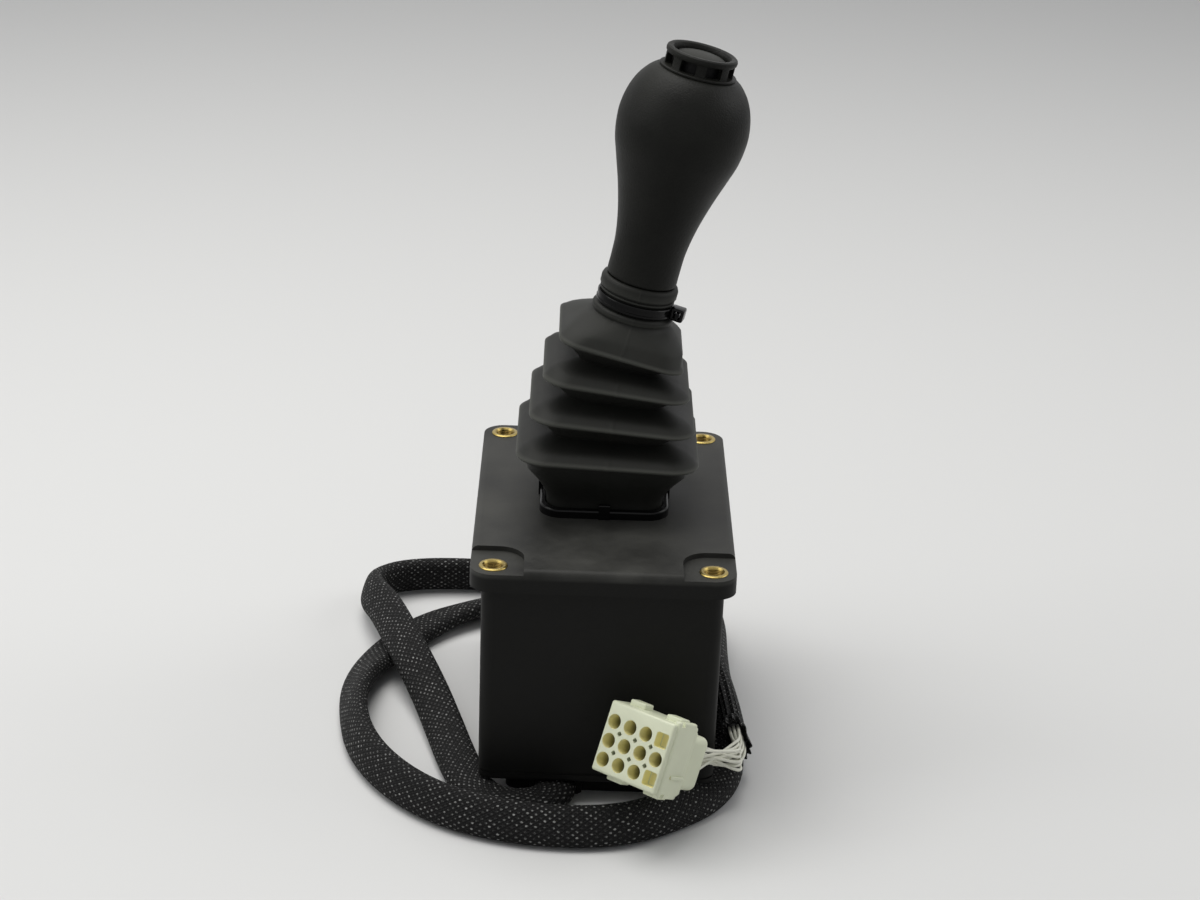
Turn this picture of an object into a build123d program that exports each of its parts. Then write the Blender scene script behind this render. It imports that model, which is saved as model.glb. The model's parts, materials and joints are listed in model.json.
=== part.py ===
from build123d import *
from math import cos, radians, sin, tan
import os

os.makedirs("parts", exist_ok=True)

# Millimetres, +Z up. The origin is the centre of the footprint, on the surface that the box stands on.
# The flange's long side runs along Y, and the lever leans towards +X in the stored pose.

# Housing: one moulding of box and mounting flange
FLANGE_W = 92.0
FLANGE_D = 140.0
FLANGE_T = 8.5
FLANGE_TOP = 91.5
FLANGE_CORNER_R = 8.0
FLANGE_EDGE_R = 2.5
FLANGE_OVERHANG = 4.0
BOX_DRAFT = 0.3
BOX_CORNER_R = 4.5
WALL = 3.0
TOP_PLATE_T = 6.0
SEAM_Z = 11.9

# Corner recesses with their brass inserts
HOLE_INSET = 8.0
INSERT_OD = 10.0
INSERT_BORE = 6.4
INSERT_L = 7.0
INSERT_PROUD = 0.5
RECESS_X = 18.6
RECESS_Y = 20.5
RECESS_R = 9.0
RECESS_DEPTH = 1.8
PILLAR_R = 7.5
SCREW_CLEAR_DEPTH = 14.0

# Bottom cover and its gasket
GASKET_T = 0.8
COVER_T = 2.6
SKIRT_INSET = 10.0
SKIRT_WALL = 3.0
RIB_T = 3.0
RIB_START = 26.0
COVER_SCREW_R = 1.5
COVER_SCREW_HEAD_R = 3.0
COVER_SCREW_HEAD_H = 1.6
COVER_SCREW_L = 12.0
COVER_SCREW_INSET = 5.6
HEAD_RECESS = COVER_SCREW_HEAD_H + 0.1

# Lever pose and gimbal
LEAN = 12.2
PIVOT_UP = 36.0
PIN_R = 2.0
PIN_PLAY = 0.05
FIT_GAP = 0.02
BUSH_WALL = 1.0
HUB_R = 6.2
HUB_HALF = 6.0
RING_HALF_X = 11.0
RING_HALF_Y = 9.2
RING_HALF_Z = 5.0
RING_GAP = 0.4
WASHER_T = 0.7
WASHER_PLAY = 0.1
WASHER_R = 4.0
POST_T = 4.0
POST_W = 12.0
FOOT_HALF = 18.5
FOOT_T = 4.0
FOOT_CORNER_R = 8.0
THROAT_R = 16.0
CLIP_T = 0.6
CLIP_R = 3.4
FOOT_SCREW_XY = 14.2
FOOT_SCREW_R = 1.5

# Lever shaft, below and above the pivot
STUB_R = 3.5
SHAFT_R = 5.0
SHAFT_BORE_R = 1.75
SHAFT_START = 9.0
SHAFT_END = 96.0
MAGNET_CUP_R = 4.0
MAGNET_CUP_L = 8.0
STUB_END = -33.0
MAGNET_R = 3.0
MAGNET_L = 3.0

# Gaiter: four folds above a flared foot, and a round collar
GAITER_WALL = 1.6
GAITER_BASE_HALF = 21.0
GAITER_BASE_Z = 1.6
FOLD_HALF = (32.2, 29.2, 26.0, 22.6)
FOLD_UP = (23.1, 36.1, 48.8, 60.6)
FOLD_TILT = (0.19, 0.43, 0.64, 1.24)
FOLD_SHIFT = (0.054, 0.218, 0.367, 0.544)
FOLD_CORNER = 0.42
VALLEY_HALF = (20.6, 17.4, 14.4)
VALLEY_SHARE = 0.43
RIM_H = 2.4
SHOULDER = (
    (29.0, 20.4, 0.55, -0.9), (31.2, 18.4, 0.68, -0.6), (33.2, 16.1, 0.85, -0.3), (34.6, 14.3, 0.99, 0.0))
COLLAR_START = 34.8
BEAD_R = 14.6
BEAD_TOP = 37.4
GROOVE_R = 12.6
LIP_START = 42.4
LIP_R = 13.9
LIP_END = 48.3
COLLAR_BORE_R = 11.7

# Cable tie round the collar
TIE_W = 3.6
TIE_T = 1.2
TIE_GAP = 0.25
TIE_HEAD = (5.6, 6.0, 4.6)
TIE_AT = 39.9

# Boot frame on the flange
FRAME_HALF = 23.2
FRAME_H = 3.2

# Grip, a solid of revolution about the lever axis
SPIGOT_R = 11.4
SPIGOT_START = 33.0
GRIP_FOOT = 48.5
GRIP_NECK_R = 12.5
GRIP_BULB_R = 23.1
GRIP_BULB_AT = 105.0
GRIP_WAIST = (0.3, 62.0)
GRIP_FLARE = (4.4, 81.0)
GRIP_LOW = (0.9, 97.0)
GRIP_HIGH = (1.5, 115.4)
GRIP_SHOULDER = (4.8, 121.8)
GRIP_TOP = 125.2
CAVITY_R = 11.3
CAVITY_START = 101.0
NUT_AF = 17.0
NUT_T = 5.0

# Button and its guard ring
GUARD_FLANGE_R = 13.5
GUARD_FLANGE_T = 1.0
GUARD_R = 12.2
GUARD_TOP = 132.6
GUARD_RIM_H = 2.4
GUARD_RIM_R = 12.5
WINDOWS = 8
WINDOW_ANGLE = 29.5
SPIGOT_L = 8.0
BUTTON_R = 9.2
BUTTON_GAP = 0.35
BUTTON_TRAVEL = 1.6
BUTTON_DOME = 2.2
BUTTON_EDGE = 129.3
STEM_R = 2.2
SWITCH_SIZE = 12.0
SWITCH_H = 7.0

# Boards inside the box
BOARD_T = 1.6
SENSOR_BOARD_R = 15.0
SENSOR_SEAT = 4.4
BOARD_GAP_X = 12.0
BOARD_GAP_Y = 18.0
MAIN_BOARD_Z = 58.0
STANDOFF_AF = 5.5
CHIPS = ((0, 0.125, 14, 14), (-0.267, -0.083, 9, 6), (0.233, -0.104, 6, 9), (0.2, 0.3125, 8, 5))
CANS = ((-0.3, 0.27), (-0.167, 0.354), (0.3, 0.167))
CAN_R = 3.2
HEADER_AT = (-0.067, -0.354)
HEADER_PITCH = 3.6

# Sleeved cable, lying flat
CORD_W = 15.0
CORD_T = 7.6
CORD_EDGE_R = 3.4
CORD_ROLL = 3.0
CORD_END_ROLL = 2.1
FLOOR_Z = CORD_T / 2 + 0.3
OVER_Z = FLOOR_Z + CORD_T + 0.9
WIRE_R = 0.75
OUTLET_W = CORD_W + 3.6
OUTLET_NOSE = 3.0
SLEEVE_END_L = 6.0
BEND_SHARE = 0.45

# Twelve-way connector
PITCH = 6.8
CONN_W = 27.6
CONN_H = 21.4
CONN_DEPTH = 20.0
SILO_R = 2.6
CONN_FACE_CENTRE = (11.5, -94.5, 37.3)
CONN_ACROSS = (0.775, -0.632, 0.0)
CONN_OUT = (-0.571, -0.701, 0.427)

# Values worked out from the dimensions above
BOX_W = FLANGE_W - 2 * FLANGE_OVERHANG
BOX_D = FLANGE_D - 2 * FLANGE_OVERHANG
HOLE_X = FLANGE_W - 2 * HOLE_INSET
HOLE_Y = FLANGE_D - 2 * HOLE_INSET
MAIN_BOARD_W = BOX_W - 2 * BOARD_GAP_X
MAIN_BOARD_D = BOX_D - 2 * BOARD_GAP_Y
FLANGE_UNDER = FLANGE_TOP - FLANGE_T
COVER_TOP = SEAM_Z - GASKET_T
COVER_Z = COVER_TOP - COVER_T
PIVOT_Z = FLANGE_TOP + PIVOT_UP
LEVER = Pos(0, 0, PIVOT_Z) * Rot(0, LEAN, 0)
RECESS_Z = FLANGE_TOP - RECESS_DEPTH
INSERT_TOP = RECESS_Z + INSERT_PROUD
POST_IN = RING_HALF_Y + WASHER_T + 2 * WASHER_PLAY
HUB_GAP_HALF = HUB_HALF + WASHER_T + 2 * WASHER_PLAY
BUSH_R = PIN_R + PIN_PLAY + BUSH_WALL
SKIRT_W = BOX_W - 2 * SKIRT_INSET
SKIRT_D = BOX_D - 2 * SKIRT_INSET
OUTLET_X = -BOX_W / 6
OUTLET_Y = -SKIRT_D / 2 - OUTLET_NOSE - 0.1
SWITCH_TOP = CAVITY_START + 4.0 + SWITCH_H
STEM_END = SWITCH_TOP + BUTTON_TRAVEL + 0.3
DOME_TOP = BUTTON_EDGE + BUTTON_DOME - 4.2


def save(node, *shapes):
    shape = shapes[0] if len(shapes) == 1 else Compound(children=list(shapes))
    export_step(shape, f"parts/{node}.step")


def slab(width, depth, low, high, radius):
    return Pos(0, 0, low) * extrude(RectangleRounded(width, depth, radius), high - low)


def rod(radius, low, high, bore=0.0):
    section = Circle(radius) - Circle(bore) if bore else Circle(radius)
    return Pos(0, 0, low) * extrude(section, high - low)


def rod_y(radius, low, high, bore=0.0):
    return Rot(-90, 0, 0) * rod(radius, low, high, bore)


def rod_x(radius, low, high, bore=0.0):
    return Rot(0, 90, 0) * rod(radius, low, high, bore)


def corners(half_x, half_y):
    return [(sx * half_x, sy * half_y) for sx in (-1, 1) for sy in (-1, 1)]


def screw(head_r, head_h, shank_r, length):
    """A pan head screw whose head sits on z = 0 and whose shank points down."""
    head = fillet(rod(head_r, 0, head_h).edges().sort_by(Axis.Z)[-1], head_h * 0.45)
    slot = Box(head_r * 1.1, head_r * 0.3, head_h * 0.6)
    cross = slot + Rot(0, 0, 90) * slot
    return head + rod(shank_r, -length, 0) - Pos(0, 0, head_h) * cross


def cover_screw_places():
    half_x = BOX_W / 2 - COVER_SCREW_INSET
    half_y = BOX_D / 2 - COVER_SCREW_INSET
    return corners(half_x, half_y) + [(-half_x, 0), (half_x, 0)]


def housing():
    plate = slab(FLANGE_W, FLANGE_D, FLANGE_UNDER, FLANGE_TOP, FLANGE_CORNER_R)
    plate = fillet(plate.faces().sort_by(Axis.Z)[-1].edges(), FLANGE_EDGE_R)
    box_h = FLANGE_UNDER - SEAM_Z
    outer = extrude(RectangleRounded(BOX_W, BOX_D, BOX_CORNER_R), box_h, dir=(0, 0, -1), taper=BOX_DRAFT)
    body = plate + Pos(0, 0, FLANGE_UNDER) * outer
    cavity_w = BOX_W - 2 * WALL - 2 * box_h * tan(radians(BOX_DRAFT))
    cavity_d = BOX_D - 2 * WALL - 2 * box_h * tan(radians(BOX_DRAFT))
    body -= slab(cavity_w, cavity_d, SEAM_Z - 1, FLANGE_TOP - TOP_PLATE_T, BOX_CORNER_R - WALL / 2)
    inside = slab(cavity_w + WALL, cavity_d + WALL, SEAM_Z, FLANGE_UNDER, BOX_CORNER_R)
    for x, y in corners(HOLE_X / 2, HOLE_Y / 2):
        body += Pos(x, y, 0) * rod(PILLAR_R, SEAM_Z, FLANGE_UNDER) & inside
        pocket = RectangleRounded(2 * RECESS_X, 2 * RECESS_Y, RECESS_R)
        corner = (FLANGE_W / 2 * x / abs(x), FLANGE_D / 2 * y / abs(y))
        body -= Pos(*corner, RECESS_Z) * extrude(pocket, 2 * RECESS_DEPTH)
    for x, y in corners(HOLE_X / 2, HOLE_Y / 2):
        body -= Pos(x, y, 0) * rod(INSERT_OD / 2 + FIT_GAP, INSERT_TOP - INSERT_L, FLANGE_TOP)
        body -= Pos(x, y, 0) * rod(INSERT_BORE / 2, INSERT_TOP - SCREW_CLEAR_DEPTH, FLANGE_TOP)
    for x, y in ((-1, 0), (1, 0)):
        boss = Pos(x * (BOX_W / 2 - COVER_SCREW_INSET), y, 0) * rod(4.0, SEAM_Z, SEAM_Z + 18)
        body += boss & inside
    for x, y in cover_screw_places():
        body -= Pos(x, y, SEAM_Z) * rod(COVER_SCREW_R + FIT_GAP, -1, COVER_SCREW_L)
    body -= rod(SENSOR_BOARD_R + 0.3, FLANGE_TOP - SENSOR_SEAT, FLANGE_TOP + 1)
    body -= rod(SENSOR_BOARD_R - 3, FLANGE_TOP - TOP_PLATE_T - 1, FLANGE_TOP)
    for x, y in corners(FOOT_SCREW_XY, FOOT_SCREW_XY):
        body -= Pos(x, y, FLANGE_TOP) * rod(FOOT_SCREW_R + FIT_GAP, -TOP_PLATE_T - 1, 1)
    for x, y in corners(MAIN_BOARD_W / 2 - 4, MAIN_BOARD_D / 2 - 4):
        body += Pos(x, y, 0) * rod(4.5, FLANGE_TOP - TOP_PLATE_T - 4, FLANGE_TOP - TOP_PLATE_T)
    save("housing", body)


def mounting_inserts():
    sleeve = rod(INSERT_OD / 2, INSERT_TOP - INSERT_L, INSERT_TOP, INSERT_BORE / 2)
    sleeve = chamfer(sleeve.faces().sort_by(Axis.Z)[-1].edges(), 0.4)
    save("mounting_inserts", *[Pos(x, y, 0) * sleeve for x, y in corners(HOLE_X / 2, HOLE_Y / 2)])


def bottom_cover():
    bottom_w = BOX_W - 2 * (FLANGE_UNDER - SEAM_Z) * tan(radians(BOX_DRAFT))
    bottom_d = BOX_D - 2 * (FLANGE_UNDER - SEAM_Z) * tan(radians(BOX_DRAFT))
    plate = slab(bottom_w, bottom_d, COVER_Z, COVER_TOP, BOX_CORNER_R)
    plate = fillet(plate.faces().sort_by(Axis.Z)[0].edges(), 1.0)
    skirt = slab(SKIRT_W, SKIRT_D, 0, COVER_Z + 0.5, BOX_CORNER_R)
    skirt -= slab(SKIRT_W - 2 * SKIRT_WALL, SKIRT_D - 2 * SKIRT_WALL, -1, COVER_Z + 1, BOX_CORNER_R - 2)
    rib_back = SKIRT_D / 2 - SKIRT_WALL / 2
    rib_x = Pos(0, 0, COVER_Z / 2) * Box(SKIRT_W - SKIRT_WALL, RIB_T, COVER_Z)
    rib_y = Pos(0, (rib_back - RIB_START) / 2, COVER_Z / 2) * Box(RIB_T, rib_back + RIB_START, COVER_Z)
    cover = plate + skirt + rib_x + rib_y
    notch = Pos(OUTLET_X, -SKIRT_D / 2, 0) * Box(OUTLET_W, 3 * SKIRT_WALL, 2 * COVER_Z)
    cover -= notch
    cover -= Pos(OUTLET_X, -SKIRT_D / 2 + 22, COVER_Z) * rod(6.0, -1, COVER_T + 1)
    for x, y in cover_screw_places():
        cover -= Pos(x, y, COVER_Z) * rod(COVER_SCREW_R + 0.2, -1, COVER_T + 1)
        cover -= Pos(x, y, COVER_Z) * rod(COVER_SCREW_HEAD_R + 0.3, -1, HEAD_RECESS)
    for x, y in clamp_screw_places():
        cover -= Pos(x, y, COVER_Z) * rod(COVER_SCREW_R + FIT_GAP, -1, COVER_T + 1)
    save("bottom_cover", cover)

    ring = slab(bottom_w - 1, bottom_d - 1, COVER_TOP, SEAM_Z, BOX_CORNER_R)
    ring -= slab(bottom_w - 2 * WALL, bottom_d - 2 * WALL, COVER_TOP - 1, SEAM_Z + 1, BOX_CORNER_R - WALL / 2)
    eyes = Sketch()
    for x, y in cover_screw_places():
        eyes += Pos(x, y) * Circle(4.0)
    limit = slab(bottom_w - 1, bottom_d - 1, COVER_TOP, SEAM_Z, BOX_CORNER_R)
    ring += Pos(0, 0, COVER_TOP) * extrude(eyes, GASKET_T) & limit
    for x, y in cover_screw_places():
        ring -= Pos(x, y, COVER_TOP) * rod(COVER_SCREW_R + 0.2, -1, GASKET_T + 1)
    save("cover_gasket", ring)

    fastener = Rot(180, 0, 0) * screw(COVER_SCREW_HEAD_R, COVER_SCREW_HEAD_H, COVER_SCREW_R, COVER_SCREW_L)
    seat = COVER_Z + HEAD_RECESS
    save("cover_screws", *[Pos(x, y, seat) * fastener for x, y in cover_screw_places()])


def clamp_screw_places():
    y = -SKIRT_D / 2 + SKIRT_WALL + 9
    return [(OUTLET_X + side * (CORD_W / 2 + 4.5), y) for side in (-1, 1)]


def cable_outlet():
    """The rubber outlet in the skirt's notch, and the clamp bar behind it that takes the pull."""
    front = -SKIRT_D / 2 - OUTLET_NOSE
    back = -SKIRT_D / 2 + SKIRT_WALL + 2
    x = OUTLET_X
    height = COVER_Z - 0.1
    nose = Pos(x, (front + back) / 2, height / 2) * Box(OUTLET_W - 0.2, back - front, height)
    nose = chamfer(nose.edges().filter_by(Axis.Z).sort_by(Axis.Y)[:2], 1.5)
    lip = Pos(x, back + 1.0, height / 2) * Box(OUTLET_W + 2, 2.0, height)
    save("cable_outlet", nose + lip)

    y = clamp_screw_places()[0][1]
    span = CORD_W + 13
    bar = Pos(x, y + 1.5, COVER_Z - CORD_T * 0.35) * Box(span, 7.0, CORD_T * 0.7)
    for sx, sy in clamp_screw_places():
        bar -= Pos(sx, sy, 0) * rod(COVER_SCREW_R + 0.15, -1, COVER_Z + 1)
    save("cord_clamp", bar)
    fastener = Rot(180, 0, 0) * screw(2.6, 1.4, COVER_SCREW_R, CORD_T * 0.7 + COVER_T - 0.4)
    low = COVER_Z - CORD_T * 0.7
    save("clamp_screws", *[Pos(sx, sy, low) * fastener for sx, sy in clamp_screw_places()])


def bearing_tower():
    foot = slab(2 * FOOT_HALF, 2 * FOOT_HALF, 0, FOOT_T, FOOT_CORNER_R)
    foot = chamfer(foot.faces().sort_by(Axis.Z)[-1].edges(), 0.6)
    post_out = POST_IN + POST_T
    side = Polyline(
        (FOOT_HALF, 0), (FOOT_HALF, 10), (post_out, 25), (post_out, PIVOT_UP),
        (POST_IN, PIVOT_UP), (POST_IN, 24), (THROAT_R, 8), (THROAT_R, 0), close=True)
    post = Rot(0, 0, 90) * (Rot(90, 0, 0) * extrude(make_face(side), POST_W / 2, both=True))
    head = Pos(0, 0, PIVOT_UP) * rod_y(POST_W / 2, POST_IN, post_out)
    one = post + head
    tower = foot + one + Rot(0, 0, 180) * one
    tower -= rod(THROAT_R, -1, FOOT_T + 1)
    tower -= Pos(0, 0, PIVOT_UP) * rod_y(BUSH_R + FIT_GAP, -30, 30)
    for x, y in corners(FOOT_SCREW_XY, FOOT_SCREW_XY):
        tower -= Pos(x, y, 0) * rod(FOOT_SCREW_R + 0.15, -1, FOOT_T + 1)
    base = Pos(0, 0, FLANGE_TOP)
    save("bearing_tower", base * tower)

    fastener = screw(2.6, 1.5, FOOT_SCREW_R, FOOT_T + TOP_PLATE_T - 1)
    save("tower_screws", *[
        base * Pos(x, y, FOOT_T) * fastener for x, y in corners(FOOT_SCREW_XY, FOOT_SCREW_XY)])

    bush = rod_y(BUSH_R, POST_IN, post_out, PIN_R + PIN_PLAY)
    centre = Pos(0, 0, PIVOT_Z)
    save("tower_bushes", centre * bush, centre * (Rot(0, 0, 180) * bush))

    low = RING_HALF_Y + WASHER_PLAY
    washer = rod_y(WASHER_R, low, low + WASHER_T, PIN_R + 0.15)
    save("tower_friction_washers", centre * washer, centre * (Rot(0, 0, 180) * washer))


def clip():
    """An open retaining ring, flat on z = 0."""
    flat = Circle(CLIP_R) - Circle(PIN_R - 0.3) - Pos(0, -CLIP_R) * Rectangle(2.2, 2 * CLIP_R)
    return extrude(flat, CLIP_T)


def gimbal():
    """The yoke: a frame that swings between the posts and carries the cross pins."""
    window_x = HUB_GAP_HALF
    window_y = HUB_R + RING_GAP
    frame = Box(2 * RING_HALF_X, 2 * RING_HALF_Y, 2 * RING_HALF_Z)
    frame = fillet(frame.edges().filter_by(Axis.Z), 2.5)
    frame -= Box(2 * window_x, 2 * window_y, 4 * RING_HALF_Z)
    frame = chamfer(frame.faces().sort_by(Axis.Z)[-1].outer_wire().edges(), 0.5)
    frame -= rod_y(PIN_R + FIT_GAP, -30, 30)
    frame -= rod_x(BUSH_R + FIT_GAP, -30, 30)
    save("gimbal_ring", LEVER * frame)

    post_out = POST_IN + POST_T
    groove_at = post_out + 0.25
    pin = rod_y(PIN_R, window_y, groove_at + CLIP_T + 0.8)
    pin -= rod_y(PIN_R + 1, groove_at - 0.02, groove_at + CLIP_T + 0.02, PIN_R - 0.35)
    save("ring_pins", LEVER * pin, LEVER * (Rot(0, 0, 180) * pin))
    ring = Pos(0, groove_at, 0) * (Rot(-90, 0, 0) * clip())
    save("ring_pin_clips", LEVER * ring, LEVER * (Rot(0, 0, 180) * ring))

    bush = rod_x(BUSH_R, window_x, RING_HALF_X, PIN_R + PIN_PLAY)
    save("ring_bushes", LEVER * bush, LEVER * (Rot(0, 0, 180) * bush))
    low = HUB_HALF + WASHER_PLAY
    washer = rod_x(WASHER_R, low, low + WASHER_T, PIN_R + 0.15)
    save("ring_friction_washers", LEVER * washer, LEVER * (Rot(0, 0, 180) * washer))


def lever_core():
    """The hub on its cross pins, the hollow shaft through it and the magnet below."""
    hub = rod_x(HUB_R, -HUB_HALF, HUB_HALF)
    hub -= rod(STUB_R + FIT_GAP, -20, 20)
    hub -= rod_x(PIN_R + FIT_GAP, -30, 30)
    save("lever_hub", LEVER * hub)

    groove_at = RING_HALF_X + 0.25
    pin = rod_x(PIN_R, STUB_R + 0.1, groove_at + CLIP_T + 0.8)
    pin -= rod_x(PIN_R + 1, groove_at - 0.02, groove_at + CLIP_T + 0.02, PIN_R - 0.35)
    save("cross_pins", LEVER * pin, LEVER * (Rot(0, 0, 180) * pin))
    ring = Pos(groove_at, 0, 0) * (Rot(0, 90, 0) * clip())
    save("cross_pin_clips", LEVER * ring, LEVER * (Rot(0, 0, 180) * ring))

    shaft = rod(STUB_R, STUB_END + MAGNET_CUP_L - 3, SHAFT_START)
    cone = Pos(0, 0, SHAFT_START - 2) * loft([Circle(STUB_R).face(), Pos(0, 0, 2) * Circle(SHAFT_R).face()])
    shaft += cone + rod(SHAFT_R, SHAFT_START, SHAFT_END)
    shaft = chamfer(shaft.edges().sort_by(Axis.Z)[-1], 0.8)
    shaft -= rod(SHAFT_BORE_R, 12, SHAFT_END + 1)
    save("lever_shaft", LEVER * shaft)

    cup = rod(MAGNET_CUP_R, STUB_END, STUB_END + MAGNET_CUP_L)
    cup -= rod(STUB_R + FIT_GAP, STUB_END + MAGNET_CUP_L - 3, STUB_END + MAGNET_CUP_L + 1)
    cup -= rod(MAGNET_R + FIT_GAP, STUB_END - 1, STUB_END + MAGNET_L)
    save("magnet_cup", LEVER * cup)
    save("magnet", LEVER * rod(MAGNET_R, STUB_END, STUB_END + MAGNET_L))


def bend_at(up):
    """How far the gaiter leans and shifts at a height above the flange: (tilt, shift)."""
    offset = COLLAR_START * sin(radians(LEAN))
    stations = list(zip((0.0,) + FOLD_UP, (0.0,) + FOLD_TILT, (0.0,) + FOLD_SHIFT))
    for low, high in zip(stations, stations[1:]):
        share = (up - low[0]) / (high[0] - low[0])
        if share <= 1 or high is stations[-1]:
            break
    tilt, shift = (a + share * (b - a) for a, b in zip(low[1:], high[1:]))
    return tilt * LEAN, shift * offset


def gaiter_section(up, half):
    tilt, shift = bend_at(up)
    plane = Plane(
        origin=(shift, 0, FLANGE_TOP + up),
        x_dir=(cos(radians(tilt)), 0, -sin(radians(tilt))),
        z_dir=(sin(radians(tilt)), 0, cos(radians(tilt))))
    return plane * RectangleRounded(2 * half, 2 * half, FOLD_CORNER * half).face()


def gaiter_profile():
    """Heights and half widths from the foot to the top fold: each fold has a short upright rim."""
    rows = [(GAITER_BASE_Z, GAITER_BASE_HALF - 0.6), (5.0, GAITER_BASE_HALF)]
    for i, (up, half) in enumerate(zip(FOLD_UP, FOLD_HALF)):
        rows += [(up - RIM_H / 2, half - 0.4), (up + RIM_H / 2, half - 0.2)]
        if i < len(VALLEY_HALF):
            rows.append((up + VALLEY_SHARE * (FOLD_UP[i + 1] - up), VALLEY_HALF[i]))
    return rows


def gaiter_skin(inset):
    sections = [gaiter_section(up, half - inset) for up, half in gaiter_profile()]
    for up, half, corner, shift in SHOULDER:
        size = half - inset
        face = RectangleRounded(2 * size, 2 * size, corner * size).face()
        sections.append(LEVER * (Pos(shift, 0, up) * face))
    return loft(sections, ruled=True)


def gaiter():
    line = Polyline(
        (COLLAR_BORE_R, COLLAR_START - 1.5), (BEAD_R - 0.9, COLLAR_START - 0.4), (BEAD_R, COLLAR_START + 0.8),
        (BEAD_R, BEAD_TOP - 0.8), (BEAD_R - 0.8, BEAD_TOP), (GROOVE_R, BEAD_TOP), (GROOVE_R, LIP_START),
        (LIP_R - 0.6, LIP_START), (LIP_R, LIP_START + 0.8), (LIP_R, LIP_END - 1.4), (LIP_R - 1.2, LIP_END),
        (COLLAR_BORE_R, LIP_END), close=True)
    collar = revolve(Plane.XZ * make_face(line), Axis.Z)
    skin = gaiter_skin(0.0) - gaiter_skin(GAITER_WALL)
    bore = LEVER * rod(COLLAR_BORE_R, COLLAR_START - 6, COLLAR_START + 1)
    save("gaiter", skin - bore + LEVER * collar)


def boot_frame():
    """The frame round the gaiter's foot, with a snap nub in the middle of each side."""
    outer = slab(2 * FRAME_HALF, 2 * FRAME_HALF, 0, FRAME_H, 8.0)
    outer = fillet(outer.faces().sort_by(Axis.Z)[-1].edges(), 0.9)
    bore_half = GAITER_BASE_HALF + 0.3
    frame = outer - slab(2 * bore_half, 2 * bore_half, -1, FRAME_H + 1, 7.6)
    nub = Pos(FRAME_HALF - 0.2, 0, FRAME_H / 2 + 1.2) * Box(1.6, 4.0, FRAME_H + 2.4)
    nub = fillet(nub.faces().sort_by(Axis.Z)[-1].edges(), 0.6)
    for turn in range(4):
        frame += Rot(0, 0, 90 * turn) * nub
    save("boot_frame", Pos(0, 0, FLANGE_TOP) * frame)


def cable_tie():
    inner = GROOVE_R + TIE_GAP
    band = rod(inner + TIE_T, TIE_AT - TIE_W / 2, TIE_AT + TIE_W / 2, inner)
    head_x, head_y, head_z = TIE_HEAD
    head = Pos(inner + head_x / 2 + 0.2, 0, TIE_AT) * Box(head_x, head_y, head_z)
    head = fillet(head.edges().filter_by(Axis.Z), 1.0)
    tail = Pos(inner + head_x / 2, -head_y / 2 - 1.2, TIE_AT) * Box(1.4, 3.0, TIE_W * 0.9)
    save("cable_tie", LEVER * (Rot(0, 0, -12) * (band + head + tail)))


def grip():
    bulb = Spline(
        (GRIP_NECK_R, GRIP_FOOT + 1.2), (GRIP_NECK_R + GRIP_WAIST[0], GRIP_WAIST[1]),
        (GRIP_NECK_R + GRIP_FLARE[0], GRIP_FLARE[1]), (GRIP_BULB_R - GRIP_LOW[0], GRIP_LOW[1]),
        (GRIP_BULB_R, GRIP_BULB_AT), (GRIP_BULB_R - GRIP_HIGH[0], GRIP_HIGH[1]),
        (GRIP_BULB_R - GRIP_SHOULDER[0], GRIP_SHOULDER[1]), (GUARD_FLANGE_R + 0.4, GRIP_TOP),
        tangents=((-0.06, 1), (-1, 0.12)))
    foot = Polyline(
        (GUARD_FLANGE_R + 0.4, GRIP_TOP), (0, GRIP_TOP), (0, SPIGOT_START), (SPIGOT_R, SPIGOT_START),
        (SPIGOT_R, GRIP_FOOT), (GRIP_NECK_R - 0.4, GRIP_FOOT), (GRIP_NECK_R, GRIP_FOOT + 1.2))
    body = revolve(Plane.XZ * make_face(bulb + foot), Axis.Z)
    body -= rod(SHAFT_R + 0.1, SPIGOT_START - 1, SHAFT_END + 0.5)
    body -= rod(CAVITY_R, CAVITY_START, GRIP_TOP + 1)
    body -= rod(SHAFT_BORE_R, SHAFT_END, CAVITY_START + 1)
    save("grip", LEVER * body)

    hexagon = RegularPolygon(NUT_AF / 2, 6, major_radius=False) - Circle(SHAFT_R + FIT_GAP)
    nut = Pos(0, 0, SPIGOT_START - 0.1 - NUT_T) * extrude(hexagon, NUT_T)
    save("grip_lock_nut", LEVER * nut)


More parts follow.
